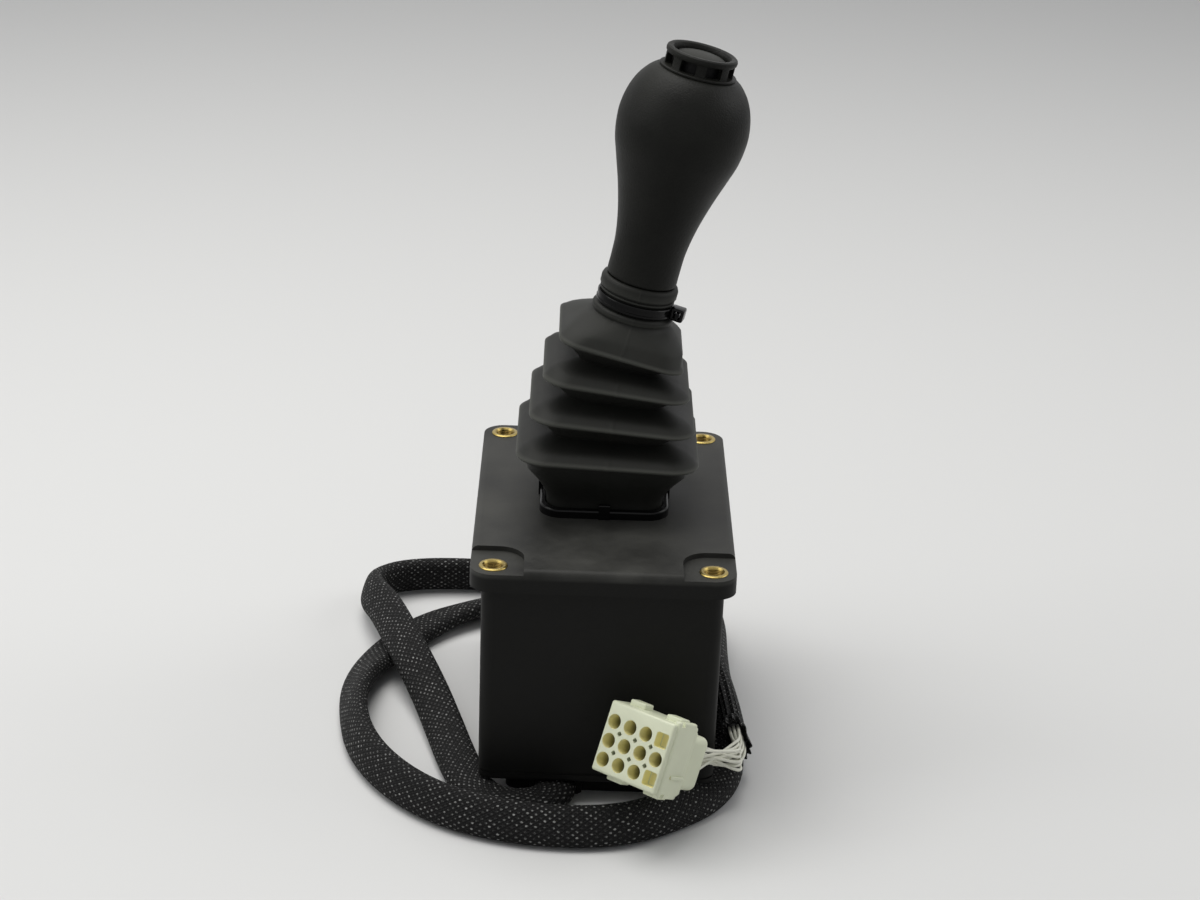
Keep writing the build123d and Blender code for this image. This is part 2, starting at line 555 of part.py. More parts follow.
def guard_ring():
    """The ring that guards the button: a thin flange, a cage with windows and a rounded rim."""
    flange = rod(GUARD_FLANGE_R, GRIP_TOP, GRIP_TOP + GUARD_FLANGE_T)
    flange = fillet(flange.edges().sort_by(Axis.Z)[-1], 0.5)
    cage = rod(GUARD_R, GRIP_TOP, GUARD_TOP - GUARD_RIM_H / 2)
    rim_low = GUARD_TOP - GUARD_RIM_H
    rim = fillet(rod(GUARD_RIM_R, rim_low, GUARD_TOP).edges(), GUARD_RIM_H * 0.45)
    spigot = rod(CAVITY_R - 0.1, GRIP_TOP - SPIGOT_L, GRIP_TOP)
    ring = flange + cage + rim + spigot
    ring -= rod(BUTTON_R + BUTTON_GAP, GRIP_TOP - SPIGOT_L - 1, GUARD_TOP - 1.4)
    ring -= rod(GUARD_RIM_R - 2.6, GUARD_TOP - 2, GUARD_TOP + 1)
    window_h = rim_low - GRIP_TOP - GUARD_FLANGE_T
    arc = WINDOW_ANGLE / 2
    wedge = make_face(Polyline((0, 0), (30 * cos(radians(arc)), -30 * sin(radians(arc))),
                               (30 * cos(radians(arc)), 30 * sin(radians(arc))), close=True))
    hole = Pos(0, 0, GRIP_TOP + GUARD_FLANGE_T) * extrude(wedge, window_h)
    hole -= rod(BUTTON_R + BUTTON_GAP - 0.3, 0, GUARD_TOP)
    for i in range(WINDOWS):
        ring -= Rot(0, 0, 360 / WINDOWS * (i + 0.5) - 90) * hole
    save("guard_ring", LEVER * ring)


def button():
    """The domed cap that slides in the guard ring, with the switch that it presses."""
    crown = BUTTON_EDGE + BUTTON_DOME
    low = BUTTON_EDGE - 6.0
    line = (
        Polyline((0, crown - 2.0), (0, crown))
        + ThreePointArc((0, crown), (BUTTON_R * 0.55, crown - BUTTON_DOME * 0.28), (BUTTON_R, BUTTON_EDGE))
        + Polyline((BUTTON_R, BUTTON_EDGE), (BUTTON_R, low), (BUTTON_R - 1.4, low),
                   (BUTTON_R - 1.4, crown - 4.0), (STEM_R, crown - 4.0), (STEM_R, STEM_END),
                   (0, STEM_END), (0, crown - 2.0)))
    save("push_button", LEVER * revolve(Plane.XZ * make_face(line), Axis.Z))

    seat = SWITCH_TOP
    dome = Polyline(
        (STEM_R + 0.3, DOME_TOP), (STEM_R + 2.2, DOME_TOP), (STEM_R + 4.2, seat + 1.0),
        (STEM_R + 5.2, seat + 1.0), (STEM_R + 5.2, seat), (STEM_R + 3.4, seat),
        (STEM_R + 1.4, DOME_TOP - 1.0), (STEM_R + 0.3, DOME_TOP - 1.0), close=True)
    save("button_return_dome", LEVER * revolve(Plane.XZ * make_face(dome), Axis.Z))

    body = Pos(0, 0, SWITCH_TOP - SWITCH_H / 2) * Box(SWITCH_SIZE, SWITCH_SIZE, SWITCH_H)
    body = chamfer(body.edges().filter_by(Axis.Z), 0.8)
    carrier = rod(CAVITY_R - 0.2, CAVITY_START, SWITCH_TOP - SWITCH_H) - rod(2.5, CAVITY_START - 1, SWITCH_TOP)
    save("button_switch", LEVER * body)
    save("switch_carrier", LEVER * carrier)


def boards():
    """The sensor board under the magnet and the controller board that hangs below the top plate."""
    seat = FLANGE_TOP - SENSOR_SEAT
    save("sensor_board", rod(SENSOR_BOARD_R, seat, seat + BOARD_T))
    chip = Pos(0, 0, seat + BOARD_T + 0.5) * Box(5, 5, 1.0)
    passives = [Pos(x, y, seat + BOARD_T + 0.4) * Box(2.0, 1.2, 0.8) for x, y in corners(7, 4)]
    save("hall_sensors", chip, *passives)

    board = Pos(0, 0, MAIN_BOARD_Z + BOARD_T / 2) * Box(MAIN_BOARD_W, MAIN_BOARD_D, BOARD_T)
    board = fillet(board.edges().filter_by(Axis.Z), 2.0)
    places = corners(MAIN_BOARD_W / 2 - 4, MAIN_BOARD_D / 2 - 4)
    for x, y in places:
        board -= Pos(x, y, MAIN_BOARD_Z) * rod(COVER_SCREW_R + 0.2, -1, BOARD_T + 1)
    save("controller_board", board)
    top = FLANGE_TOP - TOP_PLATE_T - 4
    hexagon = RegularPolygon(STANDOFF_AF / 2, 6, major_radius=False)
    standoff = extrude(hexagon, top - MAIN_BOARD_Z - BOARD_T) - rod(COVER_SCREW_R + FIT_GAP, -1, 9)
    save("board_standoffs", *[Pos(x, y, MAIN_BOARD_Z + BOARD_T) * standoff for x, y in places])
    fastener = Rot(180, 0, 0) * screw(2.6, 1.4, COVER_SCREW_R, 7.0)
    save("board_screws", *[Pos(x, y, MAIN_BOARD_Z) * fastener for x, y in places])

    under = MAIN_BOARD_Z
    chips = [Pos(x * MAIN_BOARD_W, y * MAIN_BOARD_D, under - 0.9) * Box(wide, deep, 1.8)
             for x, y, wide, deep in CHIPS]
    save("controller_chips", *chips)
    cans = [Pos(x * MAIN_BOARD_W, y * MAIN_BOARD_D, under - 5) * rod(CAN_R, -5, 5) for x, y in CANS]
    save("capacitors", *cans)
    place = Pos(HEADER_AT[0] * MAIN_BOARD_W, HEADER_AT[1] * MAIN_BOARD_D, under)
    save("wire_header", place * (Pos(0, 0, -5) * Box(27, 9, 10) - Pos(0, 0, -9) * Box(24, 6, 8)))
    pins = [place * (Pos((i - 2.5) * HEADER_PITCH, row * 1.5, -6.5) * Box(0.7, 0.7, 3.0))
            for i in range(6) for row in (-1, 1)]
    save("header_pins", *pins)


# The cable's route, from the outlet round the box one and a half times, over its own strand to its end
CORD_ROUTE = [
    (OUTLET_X, OUTLET_Y, FLOOR_Z), (OUTLET_X, -66.5, FLOOR_Z), (-20, -73.5, FLOOR_Z), (-33, -75, FLOOR_Z),
    (-43.5, -65, FLOOR_Z), (-50, -44, FLOOR_Z), (-56, -20, FLOOR_Z + 0.6), (-62.5, 2, 7.2), (-72.5, 27, OVER_Z),
    (-83, 60, OVER_Z), (-87.5, 79, 9.2), (-89.5, 96, 4.8), (-87.5, 108, FLOOR_Z), (-80, 116.5, FLOOR_Z),
    (-66, 119.5, FLOOR_Z), (-44, 118, FLOOR_Z), (-14, 117, FLOOR_Z), (14, 111, FLOOR_Z), (33, 94.5, FLOOR_Z),
    (40.8, 72, FLOOR_Z), (40.3, 45, FLOOR_Z), (41.5, 18, FLOOR_Z), (45, -8, FLOOR_Z), (47, -30, FLOOR_Z),
    (46, -49.5, FLOOR_Z), (39.5, -66, FLOOR_Z), (28.5, -78.5, FLOOR_Z), (14, -91, FLOOR_Z), (-6, -96, FLOOR_Z),
    (-31, -93.5, FLOOR_Z), (-54.5, -83, FLOOR_Z), (-72.5, -64.5, FLOOR_Z), (-83.5, -40, FLOOR_Z),
    (-88.5, -12, FLOOR_Z), (-88, 16, FLOOR_Z), (-81, 43, FLOOR_Z), (-67.5, 67, FLOOR_Z), (-47, 84, FLOOR_Z),
    (-20, 91, 6.4), (4, 93, 10.6), (26, 90.5, OVER_Z), (45.5, 79.5, OVER_Z), (52.5, 58, OVER_Z),
    (50.3, 32, OVER_Z), (50.8, 6, OVER_Z), (52.3, -18, OVER_Z), (51.5, -39, OVER_Z)]


def bend_radii(points):
    """The largest arc that each corner's two runs allow."""
    radii = []
    for before, here, after in zip(points, points[1:], points[2:]):
        one = Vector(*here) - Vector(*before)
        two = Vector(*after) - Vector(*here)
        turn = one.get_angle(two)
        radii.append(BEND_SHARE * min(one.length, two.length) / tan(radians(turn / 2)))
    return radii


def section_plane(point, along, roll):
    """A plane across the cord, its x axis level and then rolled about the cord."""
    side = along.cross(Vector(0, 0, 1)).normalized()
    rise = side.cross(along)
    return Plane(origin=point, x_dir=side * cos(radians(roll)) - rise * sin(radians(roll)), z_dir=along)


def cable():
    radii = bend_radii(CORD_ROUTE)
    print("cord radii", [round(r, 1) for r in radii])
    path = FilletPolyline(*CORD_ROUTE, radius=radii)
    start = section_plane(path @ 0, path % 0, CORD_ROLL)
    section = start * RectangleRounded(CORD_W, CORD_T, CORD_EDGE_R).face()
    tube = sweep(section, path)
    print("cord length", round(path.length, 1))
    print("volume over area times length", round(tube.volume / (section.area * path.length), 4))
    print("cord's lowest point", round(tube.bounding_box().min.Z, 3))
    save("cable_sleeve", tube)

    end = section_plane(path @ 1, path % 1, CORD_END_ROLL)
    cuff = extrude(RectangleRounded(CORD_W + 0.8, CORD_T + 0.6, CORD_EDGE_R), SLEEVE_END_L)
    cuff -= Pos(0, 0, SLEEVE_END_L - 3) * extrude(RectangleRounded(CORD_W - 3, CORD_T - 3, 1.5), 4)
    save("sleeve_end_cuff", end * cuff)
    return end


def connector_plane():
    return Plane(origin=CONN_FACE_CENTRE, x_dir=CONN_ACROSS, z_dir=CONN_OUT)


def silo_places():
    return [((col - 1.5) * PITCH, (1 - row) * PITCH, col, row) for row in range(3) for col in range(4)]


def connector():
    """A nylon housing of four by three silos, each with its contact."""
    body = extrude(RectangleRounded(CONN_W, CONN_H, 1.2), -CONN_DEPTH)
    shoulder = Pos(0, 0, -CONN_DEPTH) * extrude(RectangleRounded(CONN_W + 2.4, CONN_H + 2.0, 2.4), 6.0)
    body += shoulder
    for x in (-CONN_W * 0.24, CONN_W * 0.28):
        body += Pos(x, CONN_H / 2 + 0.9, -8.0) * Box(6.4, 1.8, 5.0)
        body += Pos(x, -CONN_H / 2 - 1.1, -8.0) * Box(6.4, 2.2, 5.0)
    for x, y, col, row in silo_places():
        square = col == 3 and row != 1
        silo = RectangleRounded(2 * SILO_R, 2 * SILO_R, 0.8) if square else Circle(SILO_R)
        body -= Pos(x, y, 0) * extrude(silo, -(CONN_DEPTH - 6.0))
        body -= Pos(x, y, 0) * rod(WIRE_R + 0.35, -CONN_DEPTH - 1, 0)
    for col in range(3):
        for row in range(2):
            place = Pos((col - 1) * PITCH, (0.5 - row) * PITCH, 0) * Rot(0, 0, 45)
            body -= place * extrude(Rectangle(1.7, 1.7), -(CONN_DEPTH - 8.0))
    plane = connector_plane()
    save("connector_housing", plane * body)
    contact = rod(1.55, -CONN_DEPTH + 6.0, -4.0, 0.95)
    save("connector_contacts", *[plane * (Pos(x, y, 0) * contact) for x, y, col, row in silo_places()])


def wires(end):
    """Twelve wires from the back of the connector round the box's corner into the sleeve."""
    plane = connector_plane()
    tubes = []
    for x, y, col, row in silo_places():
        back = plane * Pos(x, y, -CONN_DEPTH + 5.9)
        leave = plane * Pos(x, y, -CONN_DEPTH - 1.5)
        near = plane * Pos(x * 0.42, y * 0.42, -CONN_DEPTH - 11.0)
        spread_x = (col - 1.5) * 2.2
        spread_z = (1 - row) * 1.45
        out = end * Pos(-spread_x, spread_z, SLEEVE_END_L - 2.9)
        ahead = end * Pos(-spread_x, spread_z, SLEEVE_END_L + 9.0)
        corner = Vector(BOX_W / 2 + 9.0 - 0.3 * spread_x, -BOX_D / 2 - 0.5 - spread_x, 17.0 + spread_z)
        points = [back.position, leave.position, near.position, corner, ahead.position, out.position]
        radii = [min(r, 12.0) for r in bend_radii([tuple(p) for p in points])]
        path = FilletPolyline(*points, radius=radii)
        tubes.append(sweep(Plane(origin=path @ 0, z_dir=path % 0) * Circle(WIRE_R).face(), path))
    save("connector_wires", *tubes)


housing()
mounting_inserts()
bottom_cover()
cable_outlet()
bearing_tower()
gimbal()
lever_core()
gaiter()
boot_frame()
cable_tie()
grip()
guard_ring()
button()
boards()
sleeve_end = cable()
connector()
wires(sleeve_end)
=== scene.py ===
"""Panel mount joystick: the looks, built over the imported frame."""
import json
from bisect import bisect
from itertools import accumulate
from math import atan2, cos, pi, radians, sin

import bpy
from bpy.props import FloatProperty, FloatVectorProperty, IntProperty
from bpy.types import NodeSocket, Operator, Panel, PropertyGroup
from mathutils import Matrix, Vector


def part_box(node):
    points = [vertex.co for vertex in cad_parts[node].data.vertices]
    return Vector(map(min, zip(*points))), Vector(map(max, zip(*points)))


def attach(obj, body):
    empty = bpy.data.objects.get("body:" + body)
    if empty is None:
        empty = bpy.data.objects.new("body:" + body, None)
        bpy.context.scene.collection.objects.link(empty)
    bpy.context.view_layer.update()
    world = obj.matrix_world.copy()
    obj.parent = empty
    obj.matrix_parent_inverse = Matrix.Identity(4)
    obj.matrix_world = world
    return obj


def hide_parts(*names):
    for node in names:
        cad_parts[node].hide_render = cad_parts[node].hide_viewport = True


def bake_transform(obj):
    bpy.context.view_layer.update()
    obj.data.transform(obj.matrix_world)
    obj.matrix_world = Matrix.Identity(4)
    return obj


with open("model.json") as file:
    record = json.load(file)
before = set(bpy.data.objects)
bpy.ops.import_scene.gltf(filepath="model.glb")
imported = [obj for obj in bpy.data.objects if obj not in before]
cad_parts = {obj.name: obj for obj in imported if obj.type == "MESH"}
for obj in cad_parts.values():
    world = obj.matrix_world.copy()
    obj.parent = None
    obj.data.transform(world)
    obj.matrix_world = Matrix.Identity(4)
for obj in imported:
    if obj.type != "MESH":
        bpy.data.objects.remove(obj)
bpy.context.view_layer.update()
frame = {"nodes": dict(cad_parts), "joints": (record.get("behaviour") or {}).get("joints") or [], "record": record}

bl_info = {
    "name": "Panel mount joystick",
    "version": (1, 0, 0),
    "blender": (4, 5, 0),
    "location": "View3D > Sidebar > Joystick",
    "description": "Builds the gaiter, grip, button, plug and sleeved cable over the joystick's frame",
    "category": "Object",
}

MM = 0.001
PIVOT = Vector(frame["joints"][0]["pos_m"])
FLANGE_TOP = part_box("boot_frame")[0].z
UPRIGHT = (0, 0, 1)
FINISHES = {}

# The photograph's camera, in metres, and its lens and sensor in mm
CAMERA_PLACE = (-0.0141, -0.9429, 0.4888)
CAMERA_RIGHT = Vector((0.99936, 0.00158, 0.03566)).normalized()
CAMERA_FORWARD = Vector((0.01187, 0.92744, -0.37377)).normalized()
CAMERA_LENS = 84.28
CAMERA_SENSOR = 36.0

# The cable's route in mm, from its outlet almost twice round the box and over itself to its end
ROUTE = [
    (-14, -59.1, 4.1), (-14, -66.5, 4.1), (-20, -73.5, 4.1), (-33, -75, 4.1), (-43.5, -65, 4.1),
    (-50, -44, 4.5), (-56, -20, 5.3), (-62.5, 2, 8.2), (-72.5, 27, 13.8), (-83, 60, 14.4),
    (-88.5, 74, 12.9), (-91.2, 87, 9.8), (-89, 97.5, 8.1), (-81, 105.5, 7.7), (-66, 109.5, 7.7),
    (-43, 109.5, 7.7), (-14, 108.5, 6.6), (14, 106, 5.1), (33, 94.5, 4.1), (40.8, 72, 4.1),
    (40.3, 45, 4.1), (41.5, 18, 4.1), (45, -8, 4.1), (47, -30, 4.1), (46, -49.5, 4.1), (39.5, -66, 4.9),
    (28.5, -78.5, 6.2), (14, -91, 7.1), (-6, -96, 7.3), (-31, -93.5, 7.3), (-54.5, -83, 7.3),
    (-72.5, -64.5, 7.3), (-85.3, -40, 7.3), (-90.6, -12, 7.3), (-90, 16, 6.0), (-81, 43, 4.1),
    (-67.5, 67, 4.1), (-47, 84, 5.3), (-20, 91, 7.6), (4, 93, 11.8), (26, 89.5, 14.2), (42.5, 77, 15.8),
    (46.4, 56, 16.2), (45.8, 32, 16.2), (46.2, 8, 16.2), (49.2, -17, 16.2), (50.4, -38.5, 16.4),
]

# The sleeve's roll about its line in degrees, at some of the route's points: it stands on edge in its bends
ROLLS = {
    0: 0, 4: 0, 6: 25, 8: 30, 9: 45, 11: 75, 15: 75, 18: 0, 24: 0, 26: 42, 28: 65, 33: 65, 35: 3, 36: 0,
    37: 30, 39: 22, 42: 70, 46: 70,
}

# The gaiter's lean: height above the flange, tilt in degrees and sideways shift
STATIONS = [(0, 0, 0), (23.1, 2.3, 0.4), (36.1, 5.2, 1.6), (48.8, 7.8, 2.7), (60.6, 15.1, 4.0)]

# The gaiter's folds and valleys: height above the flange and half width
FOLDS = [(23.1, 32.2), (36.1, 29.2), (48.8, 26.0), (60.6, 22.6)]
VALLEYS = [(28.6, 20.6), (41.6, 17.4), (54.0, 14.4)]

# Rows of its foot, of a fold's lip, of the slope above that and of a valley: rise, reach, corner share, and paler
# wear with a painted highlight
FOOT = [
    (0.4, 20.6, 0.38, 0.0), (1.6, 20.8, 0.38, 0.0), (4.6, 20.9, 0.38, 0.0), (6.4, 21.3, 0.38, 0.0),
    (8.6, 22.3, 0.38, 0.0), (12.6, 24.8, 0.37, 0.0), (17.0, 28.2, 0.36, 0.0),
]
LIP = [
    (-2.2, -3.6, 0.33, 0.0), (-1.5, -1.6, 0.33, 0.0), (-1.2, -0.5, 0.33, 0.1), (-0.9, 0.0, 0.33, 0.4),
    (-0.4, 0.3, 0.33, 1.0), (0.1, 0.25, 0.33, 1.0), (0.5, -0.15, 0.33, 0.5), (1.0, -0.8, 0.33, 0.1),
]
SLOPE = [(2.2, -1.9, 0.35, 0.0), (3.4, -4.4, 0.35, 0.0)]
VALLEY = [(-0.7, 1.6, 0.36, 0.0), (0.0, 0.0, 0.34, 0.0), (0.6, 0.2, 0.34, 0.0), (1.6, 1.6, 0.36, 0.0)]

# The gaiter's neck, along the lever from its pivot: height, half width, corner share and shift
SHOULDER = [
    (28.6, 21.0, 0.42, -0.9), (30.2, 19.6, 0.54, -0.7), (32.0, 17.7, 0.72, -0.4), (33.4, 15.9, 0.88, -0.2),
    (34.6, 14.3, 0.995, 0),
]
COLLAR = [
    (35.0, 14.3), (35.6, 14.6), (36.6, 14.6), (37.2, 14.2), (37.5, 12.8), (37.9, 12.6), (42.0, 12.6),
    (42.4, 12.8), (42.5, 13.4), (42.9, 13.5), (43.2, 13.4), (43.3, 13.0), (43.6, 13.0), (43.8, 13.6),
    (44.4, 13.9), (46.8, 13.9), (47.8, 13.5), (48.2, 12.8), (48.2, 12.2),
]
COLLAR_CORNER = 0.998
COLLAR_RIMS = (35.6, 42.9, 44.4)
# How much paler the collar's rims and the shoulder are: wear and dust, with a painted highlight
RIM_WEAR_AND_HIGHLIGHT, SHOULDER_WEAR_AND_HIGHLIGHT = 0.45, 0.16

# The height of the gaiter's parting line, the radius that closes a turned piece's pole, and the number of
# pleats in the sleeve's mouth
PARTING_LINE = 0.22
POLE = 0.004
PLEATS = 11

# The plug: its face's middle in mm, the directions along its rows and out of it, and where its wires turn
CONN_FACE = (11.5, -94.5, 37.3)
CONN_ACROSS = Vector((0.775, -0.632, 0.0)).normalized()
CONN_OUT = Vector((-0.571, -0.701, 0.427)).normalized()
WIRE_TURN = Vector((50.5, -63.5, 18.5)) * MM


class JoystickSizes(PropertyGroup):
    """Sizes that shape the dressed pieces"""

    lean: FloatProperty(
        name="Lever lean", description="Angle of the lever from upright at rest",
        default=radians(12.2), subtype="ANGLE")
    gaiter_wall: FloatProperty(
        name="Gaiter wall", description="Thickness of the moulded rubber", default=1.1 * MM, unit="LENGTH")
    grip_bulb: FloatProperty(
        name="Grip bulb radius", description="Largest radius of the grip", default=23.1 * MM, unit="LENGTH")
    sleeve_width: FloatProperty(
        name="Sleeve width", description="Width of the braided sleeve where it lies flat",
        default=15.0 * MM, unit="LENGTH")
    sleeve_height: FloatProperty(
        name="Sleeve height", description="Height of the braided sleeve where it lies flat",
        default=7.6 * MM, unit="LENGTH")
    braid_pitch: FloatProperty(
        name="Braid pitch", description="Length of one crossing of the braid",
        default=2.2 * MM, unit="LENGTH")
    wire: FloatProperty(
        name="Wire diameter", description="Outside of one insulated wire", default=1.15 * MM, unit="LENGTH")
    pitch: FloatProperty(
        name="Plug pitch", description="Distance between the plug's silos", default=6.8 * MM, unit="LENGTH")
    windows: IntProperty(
        name="Guard windows", description="Windows in the ring that guards the button", default=8, min=3)


class JoystickColours(PropertyGroup):
    """Colours of the finishes"""

    housing: FloatVectorProperty(
        name="Housing", description="Moulded housing and flange", default=(0.0072, 0.0072, 0.0066),
        subtype="COLOR", size=3)
    rubber: FloatVectorProperty(
        name="Gaiter", description="Moulded rubber of the gaiter", default=(0.0135, 0.0138, 0.0122),
        subtype="COLOR", size=3)
    grip: FloatVectorProperty(
        name="Grip", description="Textured plastic of the grip", default=(0.0068, 0.0070, 0.0058),
        subtype="COLOR", size=3)
    brass: FloatVectorProperty(
        name="Brass", description="Turned brass inserts", default=(0.56, 0.44, 0.15),
        subtype="COLOR", size=3)
    nylon: FloatVectorProperty(
        name="Plug nylon", description="Natural nylon of the plug", default=(0.64, 0.67, 0.50),
        subtype="COLOR", size=3)
    sleeve: FloatVectorProperty(
        name="Sleeve", description="Braided filament of the cable's sleeve",
        default=(0.0052, 0.0052, 0.0052), subtype="COLOR", size=3)


def sizes():
    return bpy.context.scene.joystick_sizes


def colours():
    return bpy.context.scene.joystick_colours


def lever_matrix():
    return Matrix.Translation(PIVOT) @ Matrix.Rotation(sizes().lean, 4, "Y")


# Finishes

def shader_of(finish):
    return finish.node_tree.nodes["Principled BSDF"]


def new_finish(name, colour, roughness, **sockets):
    finish = bpy.data.materials.new(name)
    finish.use_nodes = True
    inputs = shader_of(finish).inputs
    inputs["Base Color"].default_value = (*colour, 1.0)
    inputs["Roughness"].default_value = roughness
    for key, value in sockets.items():
        inputs[key.replace("_", " ")].default_value = value
    return finish


def add_node(finish, kind, **inputs):
    node = finish.node_tree.nodes.new(kind)
    for key, value in inputs.items():
        node.inputs[key].default_value = value
    return node


def join(finish, source, target):
    finish.node_tree.links.new(source, target)


def to_shader(finish, key, source):
    join(finish, source, shader_of(finish).inputs[key])


def base_of(finish):
    """The node output that gives the finish its colour so far."""
    return shader_of(finish).inputs["Base Color"].links[0].from_socket


def feed(finish, socket, value):
    """The socket takes another node's output, a number or a colour."""
    if isinstance(value, NodeSocket):
        join(finish, value, socket)
    else:
        socket.default_value = value if isinstance(value, float) else (*value, 1.0)


def mapped(finish, vector, scale=(1, 1, 1), turn=(0, 0, 0)):
    mapping = add_node(finish, "ShaderNodeMapping", Scale=scale, Rotation=turn)
    join(finish, vector, mapping.inputs["Vector"])
    return mapping.outputs["Vector"]


def object_place(finish, scale=(1, 1, 1)):
    return mapped(finish, add_node(finish, "ShaderNodeTexCoord").outputs["Object"], scale)


def marked(finish, name):
    """The value that a piece's own attribute gives its surface."""
    node = add_node(finish, "ShaderNodeAttribute")
    node.attribute_name = name
    return node.outputs["Fac"]


def level_along(finish, axis):
    """How far along an axis each point of the surface lies."""
    node = add_node(finish, "ShaderNodeVectorMath")
    node.operation = "DOT_PRODUCT"
    node.inputs[1].default_value = axis
    join(finish, object_place(finish), node.inputs[0])
    return node.outputs["Value"]


def speckle(finish, place, scale, detail=3.0):
    """Noise from 0 to 1, with the scale's number of cells to the metre."""
    noise = add_node(finish, "ShaderNodeTexNoise", Scale=scale, Detail=detail, Roughness=0.6)
    join(finish, place, noise.inputs["Vector"])
    return noise.outputs["Fac"]


def spread(finish, value, low, high, out_low, out_high):
    limits = {"From Min": low, "From Max": high, "To Min": out_low, "To Max": out_high}
    node = add_node(finish, "ShaderNodeMapRange", **limits)
    join(finish, value, node.inputs["Value"])
    return node.outputs["Result"]


def combine(finish, operation, *values):
    node = add_node(finish, "ShaderNodeMath")
    node.operation = operation
    for socket, value in zip(node.inputs, values):
        feed(finish, socket, value)
    return node.outputs[0]


def tint(finish, value, dark, light):
    """Colour between two others, by a value from 0 to 1."""
    mix = add_node(finish, "ShaderNodeMix")
    mix.data_type = "RGBA"
    feed(finish, mix.inputs[6], dark)
    feed(finish, mix.inputs[7], light)
    join(finish, value, mix.inputs[0])
    return mix.outputs[2]


def raise_surface(finish, height, distance, strength=1.0):
    bump = add_node(finish, "ShaderNodeBump", Strength=strength, Distance=distance)
    join(finish, height, bump.inputs["Height"])
    to_shader(finish, "Normal", bump.outputs["Normal"])


def shade(colour, factor):
    return tuple(min(1.0, part * factor) for part in colour)


def darker_below(finish, axis, level, fade, deep_colour, least=0.0):
    """The finish's colour gives way to a deep one below a level along an axis."""
    lit = spread(finish, level_along(finish, axis), level - fade, level, least, 1.0)
    to_shader(finish, "Base Color", tint(finish, lit, deep_colour, base_of(finish)))


def moulded(name, colour, grain, rough, uneven=0.25, depth=0.05):
    """Moulded plastic or rubber: a fine grain, uneven gloss and faint dust."""
    finish = new_finish(name, colour, rough, Specular_IOR_Level=0.12)
    place = object_place(finish)
    blotch = speckle(finish, place, 34.0, 4.0)
    dust = speckle(finish, place, 900.0, 2.0)
    fine = speckle(finish, place, grain, 2.0)
    pick = spread(finish, blotch, 0.35, 0.7, 0.0, 1.0)
    to_shader(finish, "Base Color", tint(finish, pick, shade(colour, 1 - uneven), shade(colour, 1 + uneven)))
    to_shader(finish, "Roughness", spread(finish, blotch, 0.3, 0.7, rough - 0.07, rough + 0.07))
    dust_share = 0.3
    raise_surface(finish, combine(finish, "MULTIPLY_ADD", dust, dust_share, fine), depth * MM, 0.6)
    return finish


def housing_finish(colour):
    """The housing's moulding, paler on the flange's top face: partly a film of dust, partly painted light where
    the top faces the lamps.
    """
    finish = moulded("housing moulding", shade(colour, 4.4), 2200.0, 0.5, 0.45)
    # Dust and painted light: the flange's top takes the paler colour, and the faces below it keep the housing's
    # own dark colour
    darker_below(finish, UPRIGHT, FLANGE_TOP - 2.6 * MM, 1.2 * MM, colour)
    return finish


def button_finish(colour):
    """The button's moulding: painted light on its dome, and painted shade darkening its side inside the guard
    ring.
    """
    # Painted light: the dome takes a colour much paler than the grip's own
    finish = moulded("button moulding, painted light and shade", shade(colour, 2.4), 2600.0, 0.5, 0.12, 0.08)
    axis = lever_matrix().to_3x3() @ Vector(UPRIGHT)
    painted_shade_level = axis.dot(lever_matrix() @ Vector((0, 0, 131.5 * MM)))
    # Painted shade: below the dome's crown the button goes near black
    darker_below(finish, axis, painted_shade_level, 0.9 * MM, (0.002, 0.002, 0.002))
    return finish


def rubber_finish(colour):
    """The gaiter's rubber, paler along the lips that the piece marks with its lip attribute: partly rubbing and
    dust, partly a painted highlight where the lips catch the light.
    """
    finish = moulded("gaiter rubber", colour, 1800.0, 0.52, 0.18, 0.05)
    # Painted highlight, partly real wear and dust: the lips go paler
    wear_and_highlight = tint(finish, marked(finish, "lip"), base_of(finish), shade(colour, 4.0))
    to_shader(finish, "Base Color", wear_and_highlight)
    return finish


def turned_metal(name, colour, rough):
    """Machined metal with fine turning lines."""
    finish = new_finish(name, colour, rough, Metallic=1.0)
    lines = speckle(finish, object_place(finish, (1, 1, 6)), 2600.0, 2.0)
    blotch = speckle(finish, object_place(finish), 180.0)
    to_shader(finish, "Roughness", spread(finish, blotch, 0.3, 0.7, rough - 0.06, rough + 0.1))
    to_shader(finish, "Base Color", tint(finish, blotch, shade(colour, 0.82), shade(colour, 1.1)))
    if name == "brass":
        # Painted shade: the brass goes dark orange-brown down the inserts' bores, below the flange's top
        darker_below(finish, UPRIGHT, FLANGE_TOP - 0.5 * MM, 1.8 * MM, (0.09, 0.05, 0.01), 0.15)
    raise_surface(finish, lines, 0.02 * MM, 0.4)
    return finish


def board_finish(name):
    """Green mask over the tracks of a circuit board."""
    mask, over_track = (0.02, 0.14, 0.06), (0.05, 0.24, 0.11)
    finish = new_finish(name, mask, 0.3)
    tracks = add_node(finish, "ShaderNodeTexBrick", Scale=160.0)
    join(finish, object_place(finish), tracks.inputs["Vector"])
    to_shader(finish, "Base Color", tint(finish, tracks.outputs["Fac"], mask, over_track))
    raise_surface(finish, tracks.outputs["Fac"], 0.03 * MM, 0.5)
    return finish


def nylon_finish(name, colour):
    """Smooth plastic with a faint cloud in its colour."""
    finish = new_finish(name, colour, 0.38)
    place = object_place(finish)
    cloud = speckle(finish, place, 120.0)
    to_shader(finish, "Base Color", tint(finish, cloud, shade(colour, 0.93), shade(colour, 1.05)))
    raise_surface(finish, speckle(finish, place, 1500.0), 0.02 * MM, 0.4)
    return finish


